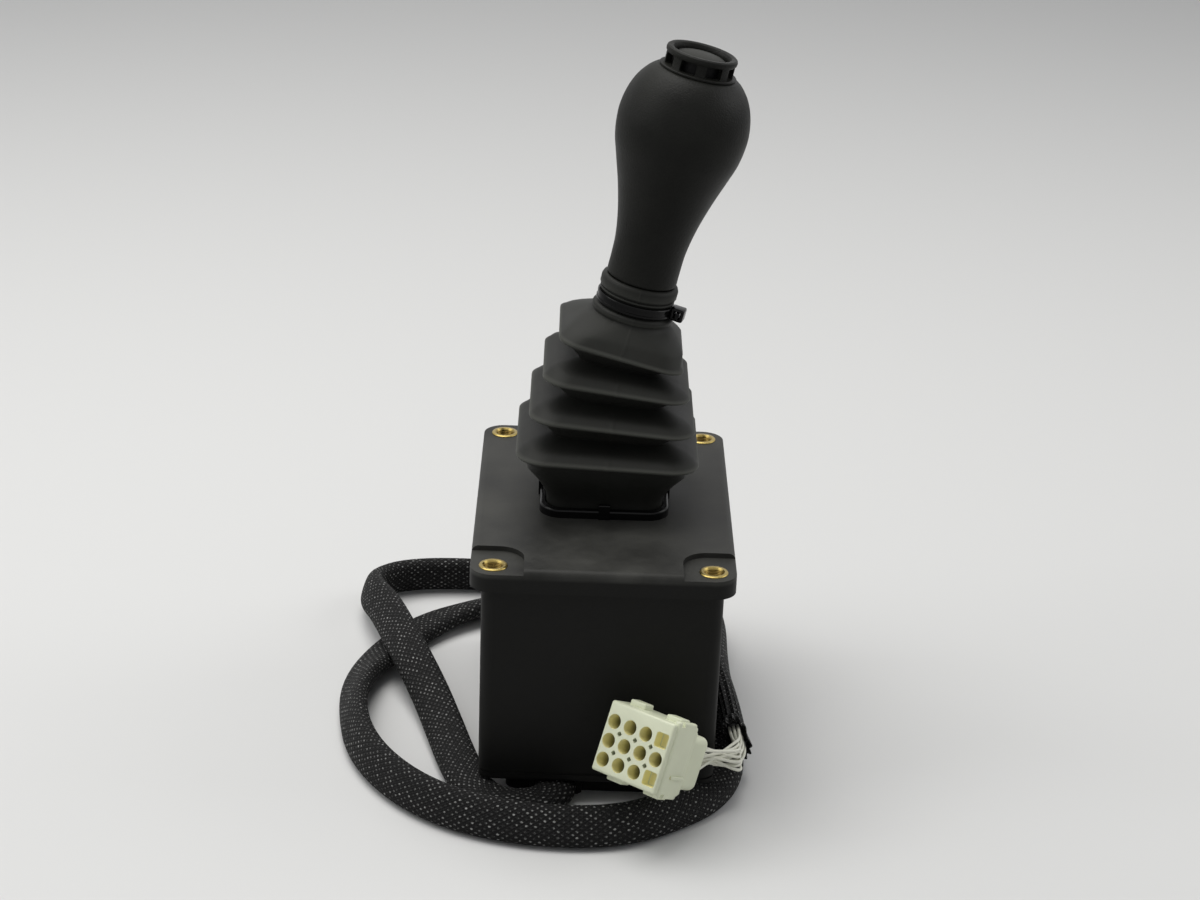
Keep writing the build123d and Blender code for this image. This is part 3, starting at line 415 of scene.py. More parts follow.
def plug_finish(name, colour):
    """Natural nylon with painted bounce light and painted shade down the silos, which the piece marks with its
    silo attribute: yellow near the face, then dark.
    """
    finish = nylon_finish(name, colour)
    # Painted bounce light (yellow) near the face, giving way to painted shade (dark) deeper down the silos
    yellow, dark = (0.86, 0.81, 0.44), (0.035, 0.030, 0.014)
    face = CONN_OUT.dot(Vector(CONN_FACE)) * MM
    deep = spread(finish, level_along(finish, CONN_OUT), face - 3.5 * MM, face - 11.0 * MM, 0.0, 1.0)
    inside = tint(finish, deep, yellow, dark)
    to_shader(finish, "Base Color", tint(finish, marked(finish, "silo"), base_of(finish), inside))
    return finish


def braid_finish(name, colour):
    """Braided filament on the piece's own UV map: slanting strands, and painted glints, bright dots in the base
    colour where they crest.
    """
    finish = new_finish(name, colour, 0.42, Specular_IOR_Level=0.15)
    uv = add_node(finish, "ShaderNodeUVMap")
    uv.uv_map = "braid"
    drawn = mapped(finish, uv.outputs["UV"], (1, 0.72, 1))
    slant, stretch = 0.7854, (1.414, 1.414, 1)
    strands = []
    for turn in (slant, -slant):
        wave = add_node(finish, "ShaderNodeTexWave", Scale=0.62, Distortion=0.5, Detail=1.0)
        join(finish, mapped(finish, drawn, stretch, (0, 0, turn)), wave.inputs["Vector"])
        strands.append(wave.outputs["Fac"])
    crossing = combine(finish, "MULTIPLY", *strands)

    crests = add_node(finish, "ShaderNodeTexVoronoi", Scale=1.0, Randomness=0.10)
    crests.voronoi_dimensions = "2D"
    join(finish, mapped(finish, drawn, stretch, (0, 0, slant)), crests.inputs["Vector"])
    dot = spread(finish, crests.outputs["Distance"], 0.29, 0.15, 0.0, 1.0)
    uneven = spread(finish, speckle(finish, object_place(finish), 560.0, 5.0), 0.47, 0.74, 0.04, 1.0)
    glint = combine(finish, "MULTIPLY", dot, uneven)
    # Painted glints: the base colour goes pale grey at the crests' dots, unevenly along the sleeve
    to_shader(finish, "Base Color", tint(finish, glint, shade(colour, 0.6), (0.42, 0.42, 0.41)))
    to_shader(finish, "Roughness", spread(finish, glint, 0.0, 1.0, 0.72, 0.3))
    raise_surface(finish, combine(finish, "ADD", crossing, dot), 0.28 * MM, 0.9)
    return finish


def make_finishes():
    paint = colours()
    return {
        "moulded_black": housing_finish(paint.housing),
        "grip_black": moulded("grip moulding", paint.grip, 1700.0, 0.48, 0.4, 0.22),
        "gaiter_rubber": rubber_finish(paint.rubber),
        "button_black": button_finish(paint.grip),
        "seal_rubber": moulded("seal rubber", shade(paint.rubber, 0.8), 1800.0, 0.6),
        "tie_nylon": moulded("tie nylon", (0.004, 0.004, 0.004), 900.0, 0.16, 0.1, 0.01),
        "brass": turned_metal("brass", paint.brass, 0.28),
        "bronze": turned_metal("sintered bronze", (0.5, 0.32, 0.15), 0.45),
        "steel": turned_metal("machined steel", (0.55, 0.56, 0.58), 0.3),
        "magnet": turned_metal("nickel plate", (0.68, 0.67, 0.64), 0.18),
        "can_aluminium": turned_metal("satin aluminium", (0.7, 0.71, 0.73), 0.36),
        "acetal": nylon_finish("acetal", (0.82, 0.82, 0.78)),
        "circuit_board": board_finish("solder mask"),
        "chip_black": moulded("chip package", (0.02, 0.02, 0.02), 2400.0, 0.5),
        "connector_nylon": plug_finish("plug nylon", paint.nylon),
        "wire_white": nylon_finish("wire insulation", (0.72, 0.72, 0.62)),
        "braided_sleeve": braid_finish("braided sleeve", paint.sleeve),
    }


def finish_for(slot):
    if not FINISHES:
        FINISHES.update(make_finishes())
    return FINISHES[slot]


def dress(piece, slot, body, *nodes):
    """The finish, the body that a piece moves with and the frame nodes that it stands for."""
    piece.data.materials.clear()
    piece.data.materials.append(finish_for(slot))
    if body:
        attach(piece, body)
    if nodes:
        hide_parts(*nodes)
    return piece


# Modelling

def clear_selection():
    if bpy.context.object and bpy.context.object.mode != "OBJECT":
        bpy.ops.object.mode_set(mode="OBJECT")
    bpy.ops.object.select_all(action="DESELECT")


def hold(piece):
    clear_selection()
    piece.select_set(True)
    bpy.context.view_layer.objects.active = piece
    return piece


def settle(piece, place=None):
    """The piece's place goes into its mesh, and its object goes to the origin."""
    hold(piece)
    bpy.ops.object.transform_apply(location=True, rotation=True, scale=True)
    if place is not None:
        piece.data.transform(place)
    return piece


def edit_all(piece):
    hold(piece)
    bpy.ops.object.mode_set(mode="EDIT")
    bpy.ops.mesh.select_all(action="SELECT")


def face_outward(piece):
    edit_all(piece)
    bpy.ops.mesh.normals_make_consistent(inside=False)
    bpy.ops.object.mode_set(mode="OBJECT")


def smooth(piece, angle):
    """Smooth except across edges sharper than the angle, in degrees."""
    hold(piece)
    bpy.ops.object.shade_smooth_by_angle(angle=radians(angle))
    return piece


def tidy(piece, angle=32.0):
    """Doubles merged, faces outward and edges smoothed."""
    edit_all(piece)
    bpy.ops.mesh.remove_doubles(threshold=0.002 * MM)
    face_outward(piece)
    return smooth(piece, angle)


def apply_modifier(piece, kind, **settings):
    hold(piece)
    modifier = piece.modifiers.new(kind.lower(), kind)
    for key, value in settings.items():
        setattr(modifier, key, value)
    bpy.ops.object.modifier_apply(modifier=modifier.name)


def ring(name, around, radius, height=0.0):
    clear_selection()
    bpy.ops.mesh.primitive_circle_add(vertices=around, radius=radius, location=(0, 0, height))
    piece = bpy.context.object
    piece.name = name
    return piece


def extrude_ring(radius, height, radius_before, height_before):
    bpy.ops.mesh.extrude_edges_move(TRANSFORM_OT_translate={"value": (0, 0, height - height_before)})
    factor = radius / radius_before
    bpy.ops.transform.resize(value=(factor, factor, 1), center_override=(0, 0, height))


def turned(name, line, around=96, closed=False):
    """A round piece: a ring, extruded and resized along a line of (radius, height) in mm."""
    line = [(max(radius, POLE) * MM, height * MM) for radius, height in line]
    radius, height = line[0]
    piece = ring(name, around, radius, height)
    edit_all(piece)
    for after in line[1:] + ([line[0]] if closed else []):
        extrude_ring(after[0], after[1], radius, height)
        radius, height = after
    bpy.ops.object.mode_set(mode="OBJECT")
    return tidy(settle(piece))


def soft_line(points, steps=6):
    """A smooth line through the points, for a turned piece."""
    out = []
    last = len(points) - 1
    for i in range(last):
        p0, p1, p2, p3 = (Vector(points[max(0, min(last, i + k))]) for k in (-1, 0, 1, 2))
        for step in range(steps):
            t = step / steps
            point = 0.5 * (2 * p1 + (p2 - p0) * t + (2 * p0 - 5 * p1 + 4 * p2 - p3) * t * t
                           + (3 * p1 - p0 - 3 * p2 + p3) * t ** 3)
            out.append(tuple(point))
    return out + [tuple(points[-1])]


def block(name, size, centre, bevel, place=None, segments=3):
    """A box with rounded edges, sizes in mm."""
    clear_selection()
    bpy.ops.mesh.primitive_cube_add(size=1, location=[c * MM for c in centre])
    piece = bpy.context.object
    piece.name = name
    piece.scale = [s * MM for s in size]
    bpy.ops.object.transform_apply(location=False, rotation=False, scale=True)
    edit_all(piece)
    bpy.ops.mesh.bevel(offset=bevel * MM, segments=segments, affect="EDGES")
    bpy.ops.object.mode_set(mode="OBJECT")
    return smooth(settle(piece, place), 35)


def merge(name, *parts):
    """Several meshes as one piece."""
    clear_selection()
    for part in parts:
        part.select_set(True)
    bpy.context.view_layer.objects.active = parts[0]
    bpy.ops.object.join()
    piece = bpy.context.object
    piece.name = name
    return piece


def copies(piece, matrices):
    """A copy of the piece at each place, with its own mesh."""
    out = []
    for matrix in matrices:
        other = piece.copy()
        other.data = piece.data.copy()
        other.data.transform(matrix)
        bpy.context.scene.collection.objects.link(other)
        out.append(other)
    bpy.data.objects.remove(piece)
    return out


def cut(piece, *tools):
    """The tools' shapes are cut from the piece."""
    for tool in tools:
        apply_modifier(piece, "BOOLEAN", operation="DIFFERENCE", object=tool, solver="EXACT")
        bpy.data.objects.remove(tool)
    return piece


# Gaiter

def station(up):
    """Tilt and shift of the gaiter's ring at a height above the flange."""
    for (low, tilt_a, shift_a), (high, tilt_b, shift_b) in zip(STATIONS, STATIONS[1:]):
        if up <= high:
            t = max(0.0, (up - low) / (high - low))
            return radians(tilt_a + (tilt_b - tilt_a) * t), (shift_a + (shift_b - shift_a) * t) * MM
    return radians(STATIONS[-1][1]), STATIONS[-1][2] * MM


def ring_place(up):
    tilt, shift = station(up)
    return Matrix.Translation((shift, 0, FLANGE_TOP + up * MM)) @ Matrix.Rotation(tilt, 4, "Y")


def round_square(angle, half, corner):
    """The point of a round-cornered square in a direction from its centre."""
    across, along = abs(cos(angle)), abs(sin(angle))
    reach = half / max(across, along)
    inner = half - corner
    if reach * across > inner and reach * along > inner:
        b = -(across + along) * inner
        c = 2 * inner * inner - corner * corner
        reach = -b + max(b * b - c, 0.0) ** 0.5
    return reach * cos(angle), reach * sin(angle)


def rows_of(profile, up, half):
    """A profile's rows, from a height and half width: ring matrix, half width, corner share and wear with painted
    highlight.
    """
    return [(ring_place(up + rise), half + reach, corner, wear_and_highlight) for rise, reach, corner, wear_and_highlight in profile]


def gaiter_rows():
    """Rows of the outer skin, from foot to collar."""
    rows = rows_of(FOOT, 0, 0)
    for i, (up, half) in enumerate(FOLDS):
        rows += rows_of(LIP, up, half)
        if i < len(VALLEYS):
            rows += rows_of(SLOPE, up, half) + rows_of(VALLEY, *VALLEYS[i])
    top = lever_matrix()
    for up, half, corner, shift in SHOULDER + [(up, half, COLLAR_CORNER, 0) for up, half in COLLAR]:
        # The collar's rims and the shoulder go paler: wear with a painted highlight
        wear_and_highlight = RIM_WEAR_AND_HIGHLIGHT if up in COLLAR_RIMS else SHOULDER_WEAR_AND_HIGHLIGHT if up < SHOULDER[-1][0] else 0.0
        rows.append((top @ Matrix.Translation((shift * MM, 0, up * MM)), half, corner, wear_and_highlight))
    return rows


def gaiter_skin(name, rows, around=240):
    """A ring is extruded row by row, then each row takes its place and its round-square outline."""
    step = 0.01
    piece = ring(name, around, 0.03)
    edit_all(piece)
    for _ in rows[1:]:
        bpy.ops.mesh.extrude_edges_move(TRANSFORM_OT_translate={"value": (0, 0, step)})
    bpy.ops.object.mode_set(mode="OBJECT")
    # Each row's wear with painted highlight, for the rubber's paler lips
    lip = piece.data.attributes.new("lip", "FLOAT", "POINT")
    for vertex in piece.data.vertices:
        row = round(vertex.co.z / step)
        matrix, half, corner, wear_and_highlight = rows[row]
        lip.data[vertex.index].value = wear_and_highlight
        angle = atan2(vertex.co.y, vertex.co.x)
        x, y = round_square(angle, half * MM, corner * half * MM)
        on_parting_line = abs(abs(angle) - pi / 2) < 0.6 * pi / around
        if on_parting_line and row not in (0, len(rows) - 1):
            y *= 1 + PARTING_LINE / half
        vertex.co = matrix @ Vector((x, y, 0))
    piece.data.update()
    return piece


# Operators

class JOYSTICK_OT_stage(Operator):
    """Make the floor, the soft lamps and the camera at the photograph's angle"""

    bl_idname = "joystick.stage"
    bl_label = "Stage"

    def execute(self, context):
        clear_selection()
        bpy.ops.mesh.primitive_plane_add(size=14, location=(0, 2.0, -0.3 * MM))
        floor = context.object
        floor.name = "studio_floor"
        pale = new_finish("pale floor", (0.62, 0.62, 0.62), 0.9)
        floor.data.materials.append(pale)

        world = context.scene.world or bpy.data.worlds.new("studio")
        context.scene.world = world
        world.use_nodes = True
        tree = world.node_tree
        tree.nodes.clear()
        soft = tree.nodes.new("ShaderNodeBackground")
        soft.inputs["Color"].default_value = (0.95, 0.97, 1.0, 1)
        soft.inputs["Strength"].default_value = 0.26
        backdrop = tree.nodes.new("ShaderNodeBackground")
        backdrop.inputs["Color"].default_value = (0.86, 0.86, 0.87, 1)
        rays = tree.nodes.new("ShaderNodeLightPath")
        mix = tree.nodes.new("ShaderNodeMixShader")
        out = tree.nodes.new("ShaderNodeOutputWorld")
        seen = rays.outputs["Is Camera Ray"]
        for kind in ("Is Glossy Ray", "Is Transmission Ray"):
            either = tree.nodes.new("ShaderNodeMath")
            either.operation = "MAXIMUM"
            tree.links.new(seen, either.inputs[0])
            tree.links.new(rays.outputs[kind], either.inputs[1])
            seen = either.outputs[0]
        for source, target in zip((seen, soft.outputs[0], backdrop.outputs[0]), mix.inputs):
            tree.links.new(source, target)
        tree.links.new(mix.outputs[0], out.inputs["Surface"])

        for name, place, size, power, colour in (
                ("top_softbox", (-0.25, 0.2, 1.35), 1.1, 17.0, (1, 0.99, 0.96)),
                ("left_softbox", (-1.1, -0.2, 0.9), 0.9, 5.0, (1, 1, 0.98)),
                ("right_softbox", (1.2, 0.2, 0.8), 0.8, 4.0, (1, 1, 0.98)),
                ("front_fill", (0.2, -1.5, 0.7), 1.0, 0.7, (1, 1, 1))):
            data = bpy.data.lights.new(name, "AREA")
            data.shape = "SQUARE"
            data.size = size
            data.energy = power
            data.color = colour
            lamp = bpy.data.objects.new(name, data)
            lamp.location = place
            lamp.rotation_euler = (Vector((0, 0, 0.12)) - Vector(place)).to_track_quat("-Z", "Y").to_euler()
            context.scene.collection.objects.link(lamp)

        data = bpy.data.cameras.new("photo_camera")
        data.sensor_fit = "HORIZONTAL"
        data.sensor_width = CAMERA_SENSOR
        data.lens = CAMERA_LENS
        data.clip_start = 0.05
        data.clip_end = 40
        camera = bpy.data.objects.new("photo_camera", data)
        forward = CAMERA_FORWARD
        right = (CAMERA_RIGHT - forward * CAMERA_RIGHT.dot(forward)).normalized()
        turn = Matrix((right, right.cross(forward), -forward)).transposed().to_4x4()
        camera.matrix_world = Matrix.Translation(CAMERA_PLACE) @ turn
        context.scene.collection.objects.link(camera)
        context.scene.camera = camera
        context.scene.view_settings.view_transform = "Standard"
        return {"FINISHED"}


def spline_of(name, points):
    data = bpy.data.curves.new(name, "CURVE")
    data.dimensions = "3D"
    line = data.splines.new("NURBS")
    line.points.add(len(points) - 1)
    for target, point in zip(line.points, points):
        target.co = (*point, 1.0)
    line.order_u = 3
    line.use_endpoint_u = True
    line.resolution_u = 8
    curve = bpy.data.objects.new(name, data)
    bpy.context.scene.collection.objects.link(curve)
    return curve


def points_along(curve):
    """The points of a curve's own line."""
    bpy.context.view_layer.update()
    mesh = bpy.data.meshes.new_from_object(curve)
    points = [vertex.co.copy() for vertex in mesh.vertices]
    bpy.data.meshes.remove(mesh)
    return points


def even(points, gap):
    """Points at even distances along a line."""
    out = [points[0].copy()]
    total = sum((b - a).length for a, b in zip(points, points[1:]))
    count = max(2, round(total / gap))
    step = total / count
    need = step
    for a, b in zip(points, points[1:]):
        length = (b - a).length
        done = 0.0
        while length - done >= need - 1e-9 and len(out) < count:
            done += need
            out.append(a.lerp(b, done / length))
            need = step
        need -= length - done
    return out + [points[-1].copy()]


def sleeve_outline(width, height, around):
    """The sleeve's cross section, a flattened ring of filament: (across, up) for each point."""
    out = []
    for i in range(around):
        angle = 2 * pi * i / around
        c, s = cos(angle), sin(angle)
        out.append((width / 2 * bulge(c, 0.72), height / 2 * bulge(s, 0.8)))
    return out


def bulge(value, power):
    """A sine or cosine, drawn towards 1 or -1 to square off its oval."""
    return abs(value) ** power * (1 if value > 0 else -1)


def braid_reach(section, pitch):
    """How far round the section each point is, in whole braid crossings at the seam."""
    reach = [0.0]
    for a, b in zip(section, section[1:] + section[:1]):
        reach.append(reach[-1] + ((a[0] - b[0]) ** 2 + (a[1] - b[1]) ** 2) ** 0.5)
    crossings = round(reach[-1] / pitch)
    return [value / reach[-1] * crossings for value in reach]


def braided_tube(name, rings, reach, runs):
    """A closed tube through rings of points, with a UV map that follows the braid."""
    around = len(rings[0])
    last = len(rings) - 1
    faces = []
    for i in range(last):
        for k in range(around):
            a, b = i * around + k, i * around + (k + 1) % around
            faces.append((a, b, b + around, a + around))
    faces.append(tuple(reversed(range(around))))
    faces.append(tuple(range(last * around, (last + 1) * around)))
    mesh = bpy.data.meshes.new(name)
    mesh.from_pydata([point for row in rings for point in row], [], faces)
    uv = mesh.uv_layers.new(name="braid")
    for polygon in mesh.polygons:
        if len(polygon.vertices) == 4:
            row, col = divmod(polygon.index, around)
            corners = ((row, col), (row, col + 1), (row + 1, col + 1), (row + 1, col))
            for loop, (r, c) in zip(polygon.loop_indices, corners):
                uv.data[loop].uv = (reach[c], runs[r])
    piece = bpy.data.objects.new(name, mesh)
    bpy.context.scene.collection.objects.link(piece)
    face_outward(piece)
    return smooth(piece, 50)


def roll_line():
    """The sleeve's roll at each point of its line, smoothed along the route as the line is."""
    marks = sorted(ROLLS)
    degrees = []
    for low, high in zip(marks, marks[1:]):
        change = (ROLLS[high] - ROLLS[low]) / (high - low)
        degrees += [ROLLS[low] + change * k for k in range(high - low)]
    degrees.append(ROLLS[marks[-1]])
    curve = spline_of("sleeve_roll", [Vector((-radians(roll), 0, 0)) for roll in degrees])
    rolls = [point.x for point in points_along(curve)]
    bpy.data.objects.remove(curve)
    return rolls


def value_at(reached, values, length):
    """The value at a length along a line, from its values at the lengths reached."""
    k = min(bisect(reached, length), len(reached) - 1)
    span = max(reached[k] - reached[k - 1], 1e-9)
    share = min(1.0, max(0.0, (length - reached[k - 1]) / span))
    return values[k - 1] + (values[k] - values[k - 1]) * share


def sleeve_axes(along, roll):
    """Directions across the flat of the sleeve and through its thickness."""
    side = along.cross(Vector((0, 0, 1))).normalized()
    side = Matrix.Rotation(roll, 3, along) @ side
    return side, side.cross(along)


def sleeve_end_place():
    """The sleeve's open end: across, through and along are its axes."""
    end, before = (Vector(point) * MM for point in (ROUTE[-1], ROUTE[-2]))
    along = (end - before).normalized()
    side = sleeve_axes(along, -radians(ROLLS[len(ROUTE) - 1]))[0]
    return Matrix.Translation(end) @ Matrix((side, along.cross(side), along)).transposed().to_4x4()


class JOYSTICK_OT_cable(Operator):
    """Lay the braided sleeve along the cable's route"""

    bl_idname = "joystick.cable"
    bl_label = "Sleeved cable"

    def execute(self, context):
        size = sizes()
        curve = spline_of("sleeve_line", [Vector(p) * MM for p in ROUTE])
        line = points_along(curve)
        reached = list(accumulate([0.0] + [(b - a).length for a, b in zip(line, line[1:])]))
        rolls = roll_line()
        path = even(line, 1.5 * MM)
        bpy.data.objects.remove(curve)
        around, gathered_rings = 48, 36
        section = sleeve_outline(size.sleeve_width - 0.3 * MM, size.sleeve_height - 0.2 * MM, around)
        reach = braid_reach(section, size.braid_pitch)
        rings, runs = [], []
        gone = 0.0
        total = len(path) - 1
        for i, point in enumerate(path):
            along = (path[min(i + 1, total)] - path[max(i - 1, 0)]).normalized()
            if i:
                gone += (point - path[i - 1]).length
            side, up = sleeve_axes(along, value_at(reached, rolls, gone))
            end_share = max(0.0, 1 - (total - i) / gathered_rings)
            points = []
            # Slow waves in the filament, and pleats towards the mouth
            for k, (x, z) in enumerate(section):
                angle = 2 * pi * k / around
                wave = 0.10 * sin(gone / (9.0 * MM) + 2 * sin(angle)) + 0.08 * sin(gone / (23 * MM) + angle)
                pleat = 1.5 * end_share * (0.5 + 0.5 * sin(PLEATS * angle))
                shrink = 1 - (0.10 * MM * abs(wave) + pleat * MM * 0.5) / (size.sleeve_height / 2)
                points.append(point + side * x * shrink + up * z * shrink)
            rings.append(points)
            runs.append(gone / size.braid_pitch)
        piece = braided_tube("cable_sleeve_braid", rings, reach, runs)
        dress(piece, "braided_sleeve", "base", "cable_sleeve")
        return {"FINISHED"}


class JOYSTICK_OT_sleeve_mouth(Operator):
    """Gather the sleeve's open end into pleats round the wires"""

    bl_idname = "joystick.sleeve_mouth"
    bl_label = "Sleeve mouth"

    def execute(self, context):
        size = sizes()
        around = 96
        section = sleeve_outline(size.sleeve_width, size.sleeve_height, around)
        place = sleeve_end_place()
        rings, runs = [], []
        for far, scale, pleat in (
                (-0.4, 0.99, 0.4), (0.8, 1.03, 0.9), (2.2, 1.08, 1.4), (3.8, 1.14, 1.8), (5.2, 1.20, 2.2),
                (6.1, 1.22, 2.3), (6.5, 1.18, 2.1), (6.4, 1.08, 1.8), (5.6, 0.97, 1.3), (4.2, 0.90, 0.8),
                (2.6, 0.84, 0.4)):
            points = []
            for k, (x, z) in enumerate(section):
                angle = 2 * pi * k / around
                fold = 1 - 0.085 * pleat * (0.5 + 0.5 * sin(PLEATS * angle + 0.8 * sin(2 * angle)))
                lift = 0.35 * MM * pleat * sin(3 * angle) if far > 4 else 0.0
                points.append(place @ Vector((x * scale * fold, z * scale * fold, far * MM + lift)))
            rings.append(points)
            runs.append(len(rings) * 0.55)
        piece = braided_tube("sleeve_mouth", rings, braid_reach(section, size.braid_pitch), runs)
        dress(piece, "braided_sleeve", "base", "sleeve_end_cuff")
        return {"FINISHED"}


class JOYSTICK_OT_gaiter(Operator):
    """Make the folded gaiter in two halves that meet in a valley"""

    bl_idname = "joystick.gaiter"
    bl_label = "Gaiter"

    def execute(self, context):
        rows = gaiter_rows()
        seam = len(FOOT) + 2 * len(LIP + SLOPE) + len(VALLEY) + 1
        neck = ring_place(FOLDS[-1][0] + 3.0)
        for name, part, below, above, last in (
                ("gaiter_lower", rows[:seam + 1], "base", "yoke", rows[seam][0]),
                ("gaiter_upper", rows[seam:], "yoke", "lever", neck)):
            piece = gaiter_skin(name, part)
            face_outward(piece)
            apply_modifier(piece, "SOLIDIFY", thickness=sizes().gaiter_wall, offset=-1.0)
            smooth(piece, 60)
            dress(piece, "gaiter_rubber", None)
            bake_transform(piece)
        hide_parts("gaiter")
        return {"FINISHED"}


class JOYSTICK_OT_grip(Operator):
    """Turn the bulb grip with its rounded shoulders"""

    bl_idname = "joystick.grip"
    bl_label = "Grip"

    def execute(self, context):
        bulb = sizes().grip_bulb / MM
        side = soft_line([
            (12.6, 49.6), (12.6, 55.0), (12.9, 62.0), (14.4, 71.0), (17.0, 81.0), (19.9, 90.0),
            (22.2, 97.5), (bulb, 105.0), (bulb - 0.4, 110.5), (bulb - 1.7, 115.6), (bulb - 3.7, 119.8),
            (bulb - 6.4, 123.2), (14.4, 125.0)])
        foot = [(11.2, 46.0), (11.2, 48.6), (12.2, 48.6), (12.5, 48.9)]
        piece = turned("grip_shell", foot + side + [(13.6, 125.2), (11.0, 125.2), (11.0, 118.0)], 128)
        settle(piece, lever_matrix())
        dress(piece, "grip_black", "lever", "grip")
        return {"FINISHED"}


class JOYSTICK_OT_guard(Operator):
    """Turn the guard ring and cut its windows"""

    bl_idname = "joystick.guard"
    bl_label = "Guard ring"

    def execute(self, context):
        line = [
            (9.7, 118.2), (11.2, 118.2), (11.2, 125.2), (13.3, 125.2), (13.5, 125.5), (13.5, 126.0),
            (13.2, 126.2), (12.2, 126.2), (12.1, 126.5), (12.1, 130.0), (12.2, 130.3), (12.5, 130.7),
            (12.6, 131.5), (12.4, 132.2), (11.9, 132.6), (10.9, 132.6), (10.3, 132.3), (9.9, 131.6),
            (9.7, 131.0)]
        piece = turned("guard_cage", line, 160, closed=True)
        count = sizes().windows
        tool = block("window", (8.0, 5.9, 4.1), (12.0, 0, 128.25), 0.5)
        turns = [Matrix.Rotation(2 * pi * (i + 0.5) / count - pi / 2, 4, "Z") for i in range(count)]
        cut(piece, merge("windows", *copies(tool, turns)))
        tidy(piece, 35)
        settle(piece, lever_matrix())
        dress(piece, "grip_black", "lever", "guard_ring")
        return {"FINISHED"}


class JOYSTICK_OT_button(Operator):
    """Turn the domed push button"""

    bl_idname = "joystick.button"
    bl_label = "Push button"

    def execute(self, context):
        foot, side, edge, dome = 123.3, 9.45, 130.1, 1.8
        line = [(8.0, foot), (side, foot), (side, edge - 0.6), (side - 0.1, edge - 0.2), (9.0, edge)]
        line += [(9.0 * cos(radians(a)), edge + dome * sin(radians(a))) for a in range(10, 91, 8)]
        piece = turned("button_cap", line)
        settle(piece, lever_matrix())
        dress(piece, "grip_black", "button", "push_button")
        piece.data.materials[0] = finish_for("button_black")
        return {"FINISHED"}


class JOYSTICK_OT_tie(Operator):
    """Make the cable tie: a ribbed band, its head and its cut tail"""

    bl_idname = "joystick.tie"
    bl_label = "Cable tie"

    def execute(self, context):
        low, high = 38.1, 41.7
        band = turned("tie_strap", [
            (12.85, low + 0.2), (13.0, low), (13.75, low), (13.95, low + 0.3), (13.95, low + 1.0),
            (13.7, low + 1.1), (13.7, high - 1.1), (13.95, high - 1.0), (13.95, high - 0.3), (13.75, high),
            (13.0, high), (12.85, high - 0.2)], 120, closed=True)
        head = block("tie_head", (5.0, 5.6, 4.7), (15.9, 0, 39.9), 0.7)
        slot = block("tie_slot", (2.0, 7.0, 2.6), (16.2, 0, 39.9), 0.2)
        cut(head, slot)
        tongue = block("tie_tongue", (1.1, 7.4, 2.4), (16.2, -0.6, 39.9), 0.25)
        piece = merge("cable_tie_strap", band, head, tongue)
        settle(piece, lever_matrix() @ Matrix.Rotation(radians(-14), 4, "Z"))
        dress(piece, "tie_nylon", "lever", "cable_tie")
        return {"FINISHED"}


class JOYSTICK_OT_inserts(Operator):
    """Turn the brass inserts with a thread in each bore"""

    bl_idname = "joystick.inserts"
    bl_label = "Brass inserts"

    def execute(self, context):
        low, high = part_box("mounting_inserts")
        radius, pitch = 5.0, 0.6
        top, bottom = high.z / MM, low.z / MM
        line = [(radius, bottom), (radius, top - 0.35), (4.75, top - 0.05), (4.6, top), (3.75, top)]
        at = top - 0.5
        line.append((3.3, at))
        while at > bottom + 1.0:
            line += [(3.12, at - pitch / 2), (3.4, at - pitch)]
            at -= pitch
        line.append((3.3, bottom))
        piece = turned("brass_insert", line, 72, closed=True)
        half_x, half_y = high.x - radius * MM, high.y - radius * MM
        places = [Matrix.Translation((x * half_x, y * half_y, 0)) for x in (-1, 1) for y in (-1, 1)]
        piece = merge("brass_inserts", *copies(piece, places))
        dress(piece, "brass", "base", "mounting_inserts")
        return {"FINISHED"}


def plug_matrix():
    up = CONN_OUT.cross(CONN_ACROSS).normalized()
    turn = Matrix((CONN_ACROSS, up, CONN_OUT)).transposed().to_4x4()
    return Matrix.Translation(Vector(CONN_FACE) * MM) @ turn


def silo_places(pitch):
    """Column, row and centre of each silo in the plug's face."""
    return [(col, row, (col - 1.5) * pitch, (1 - row) * pitch) for row in range(3) for col in range(4)]


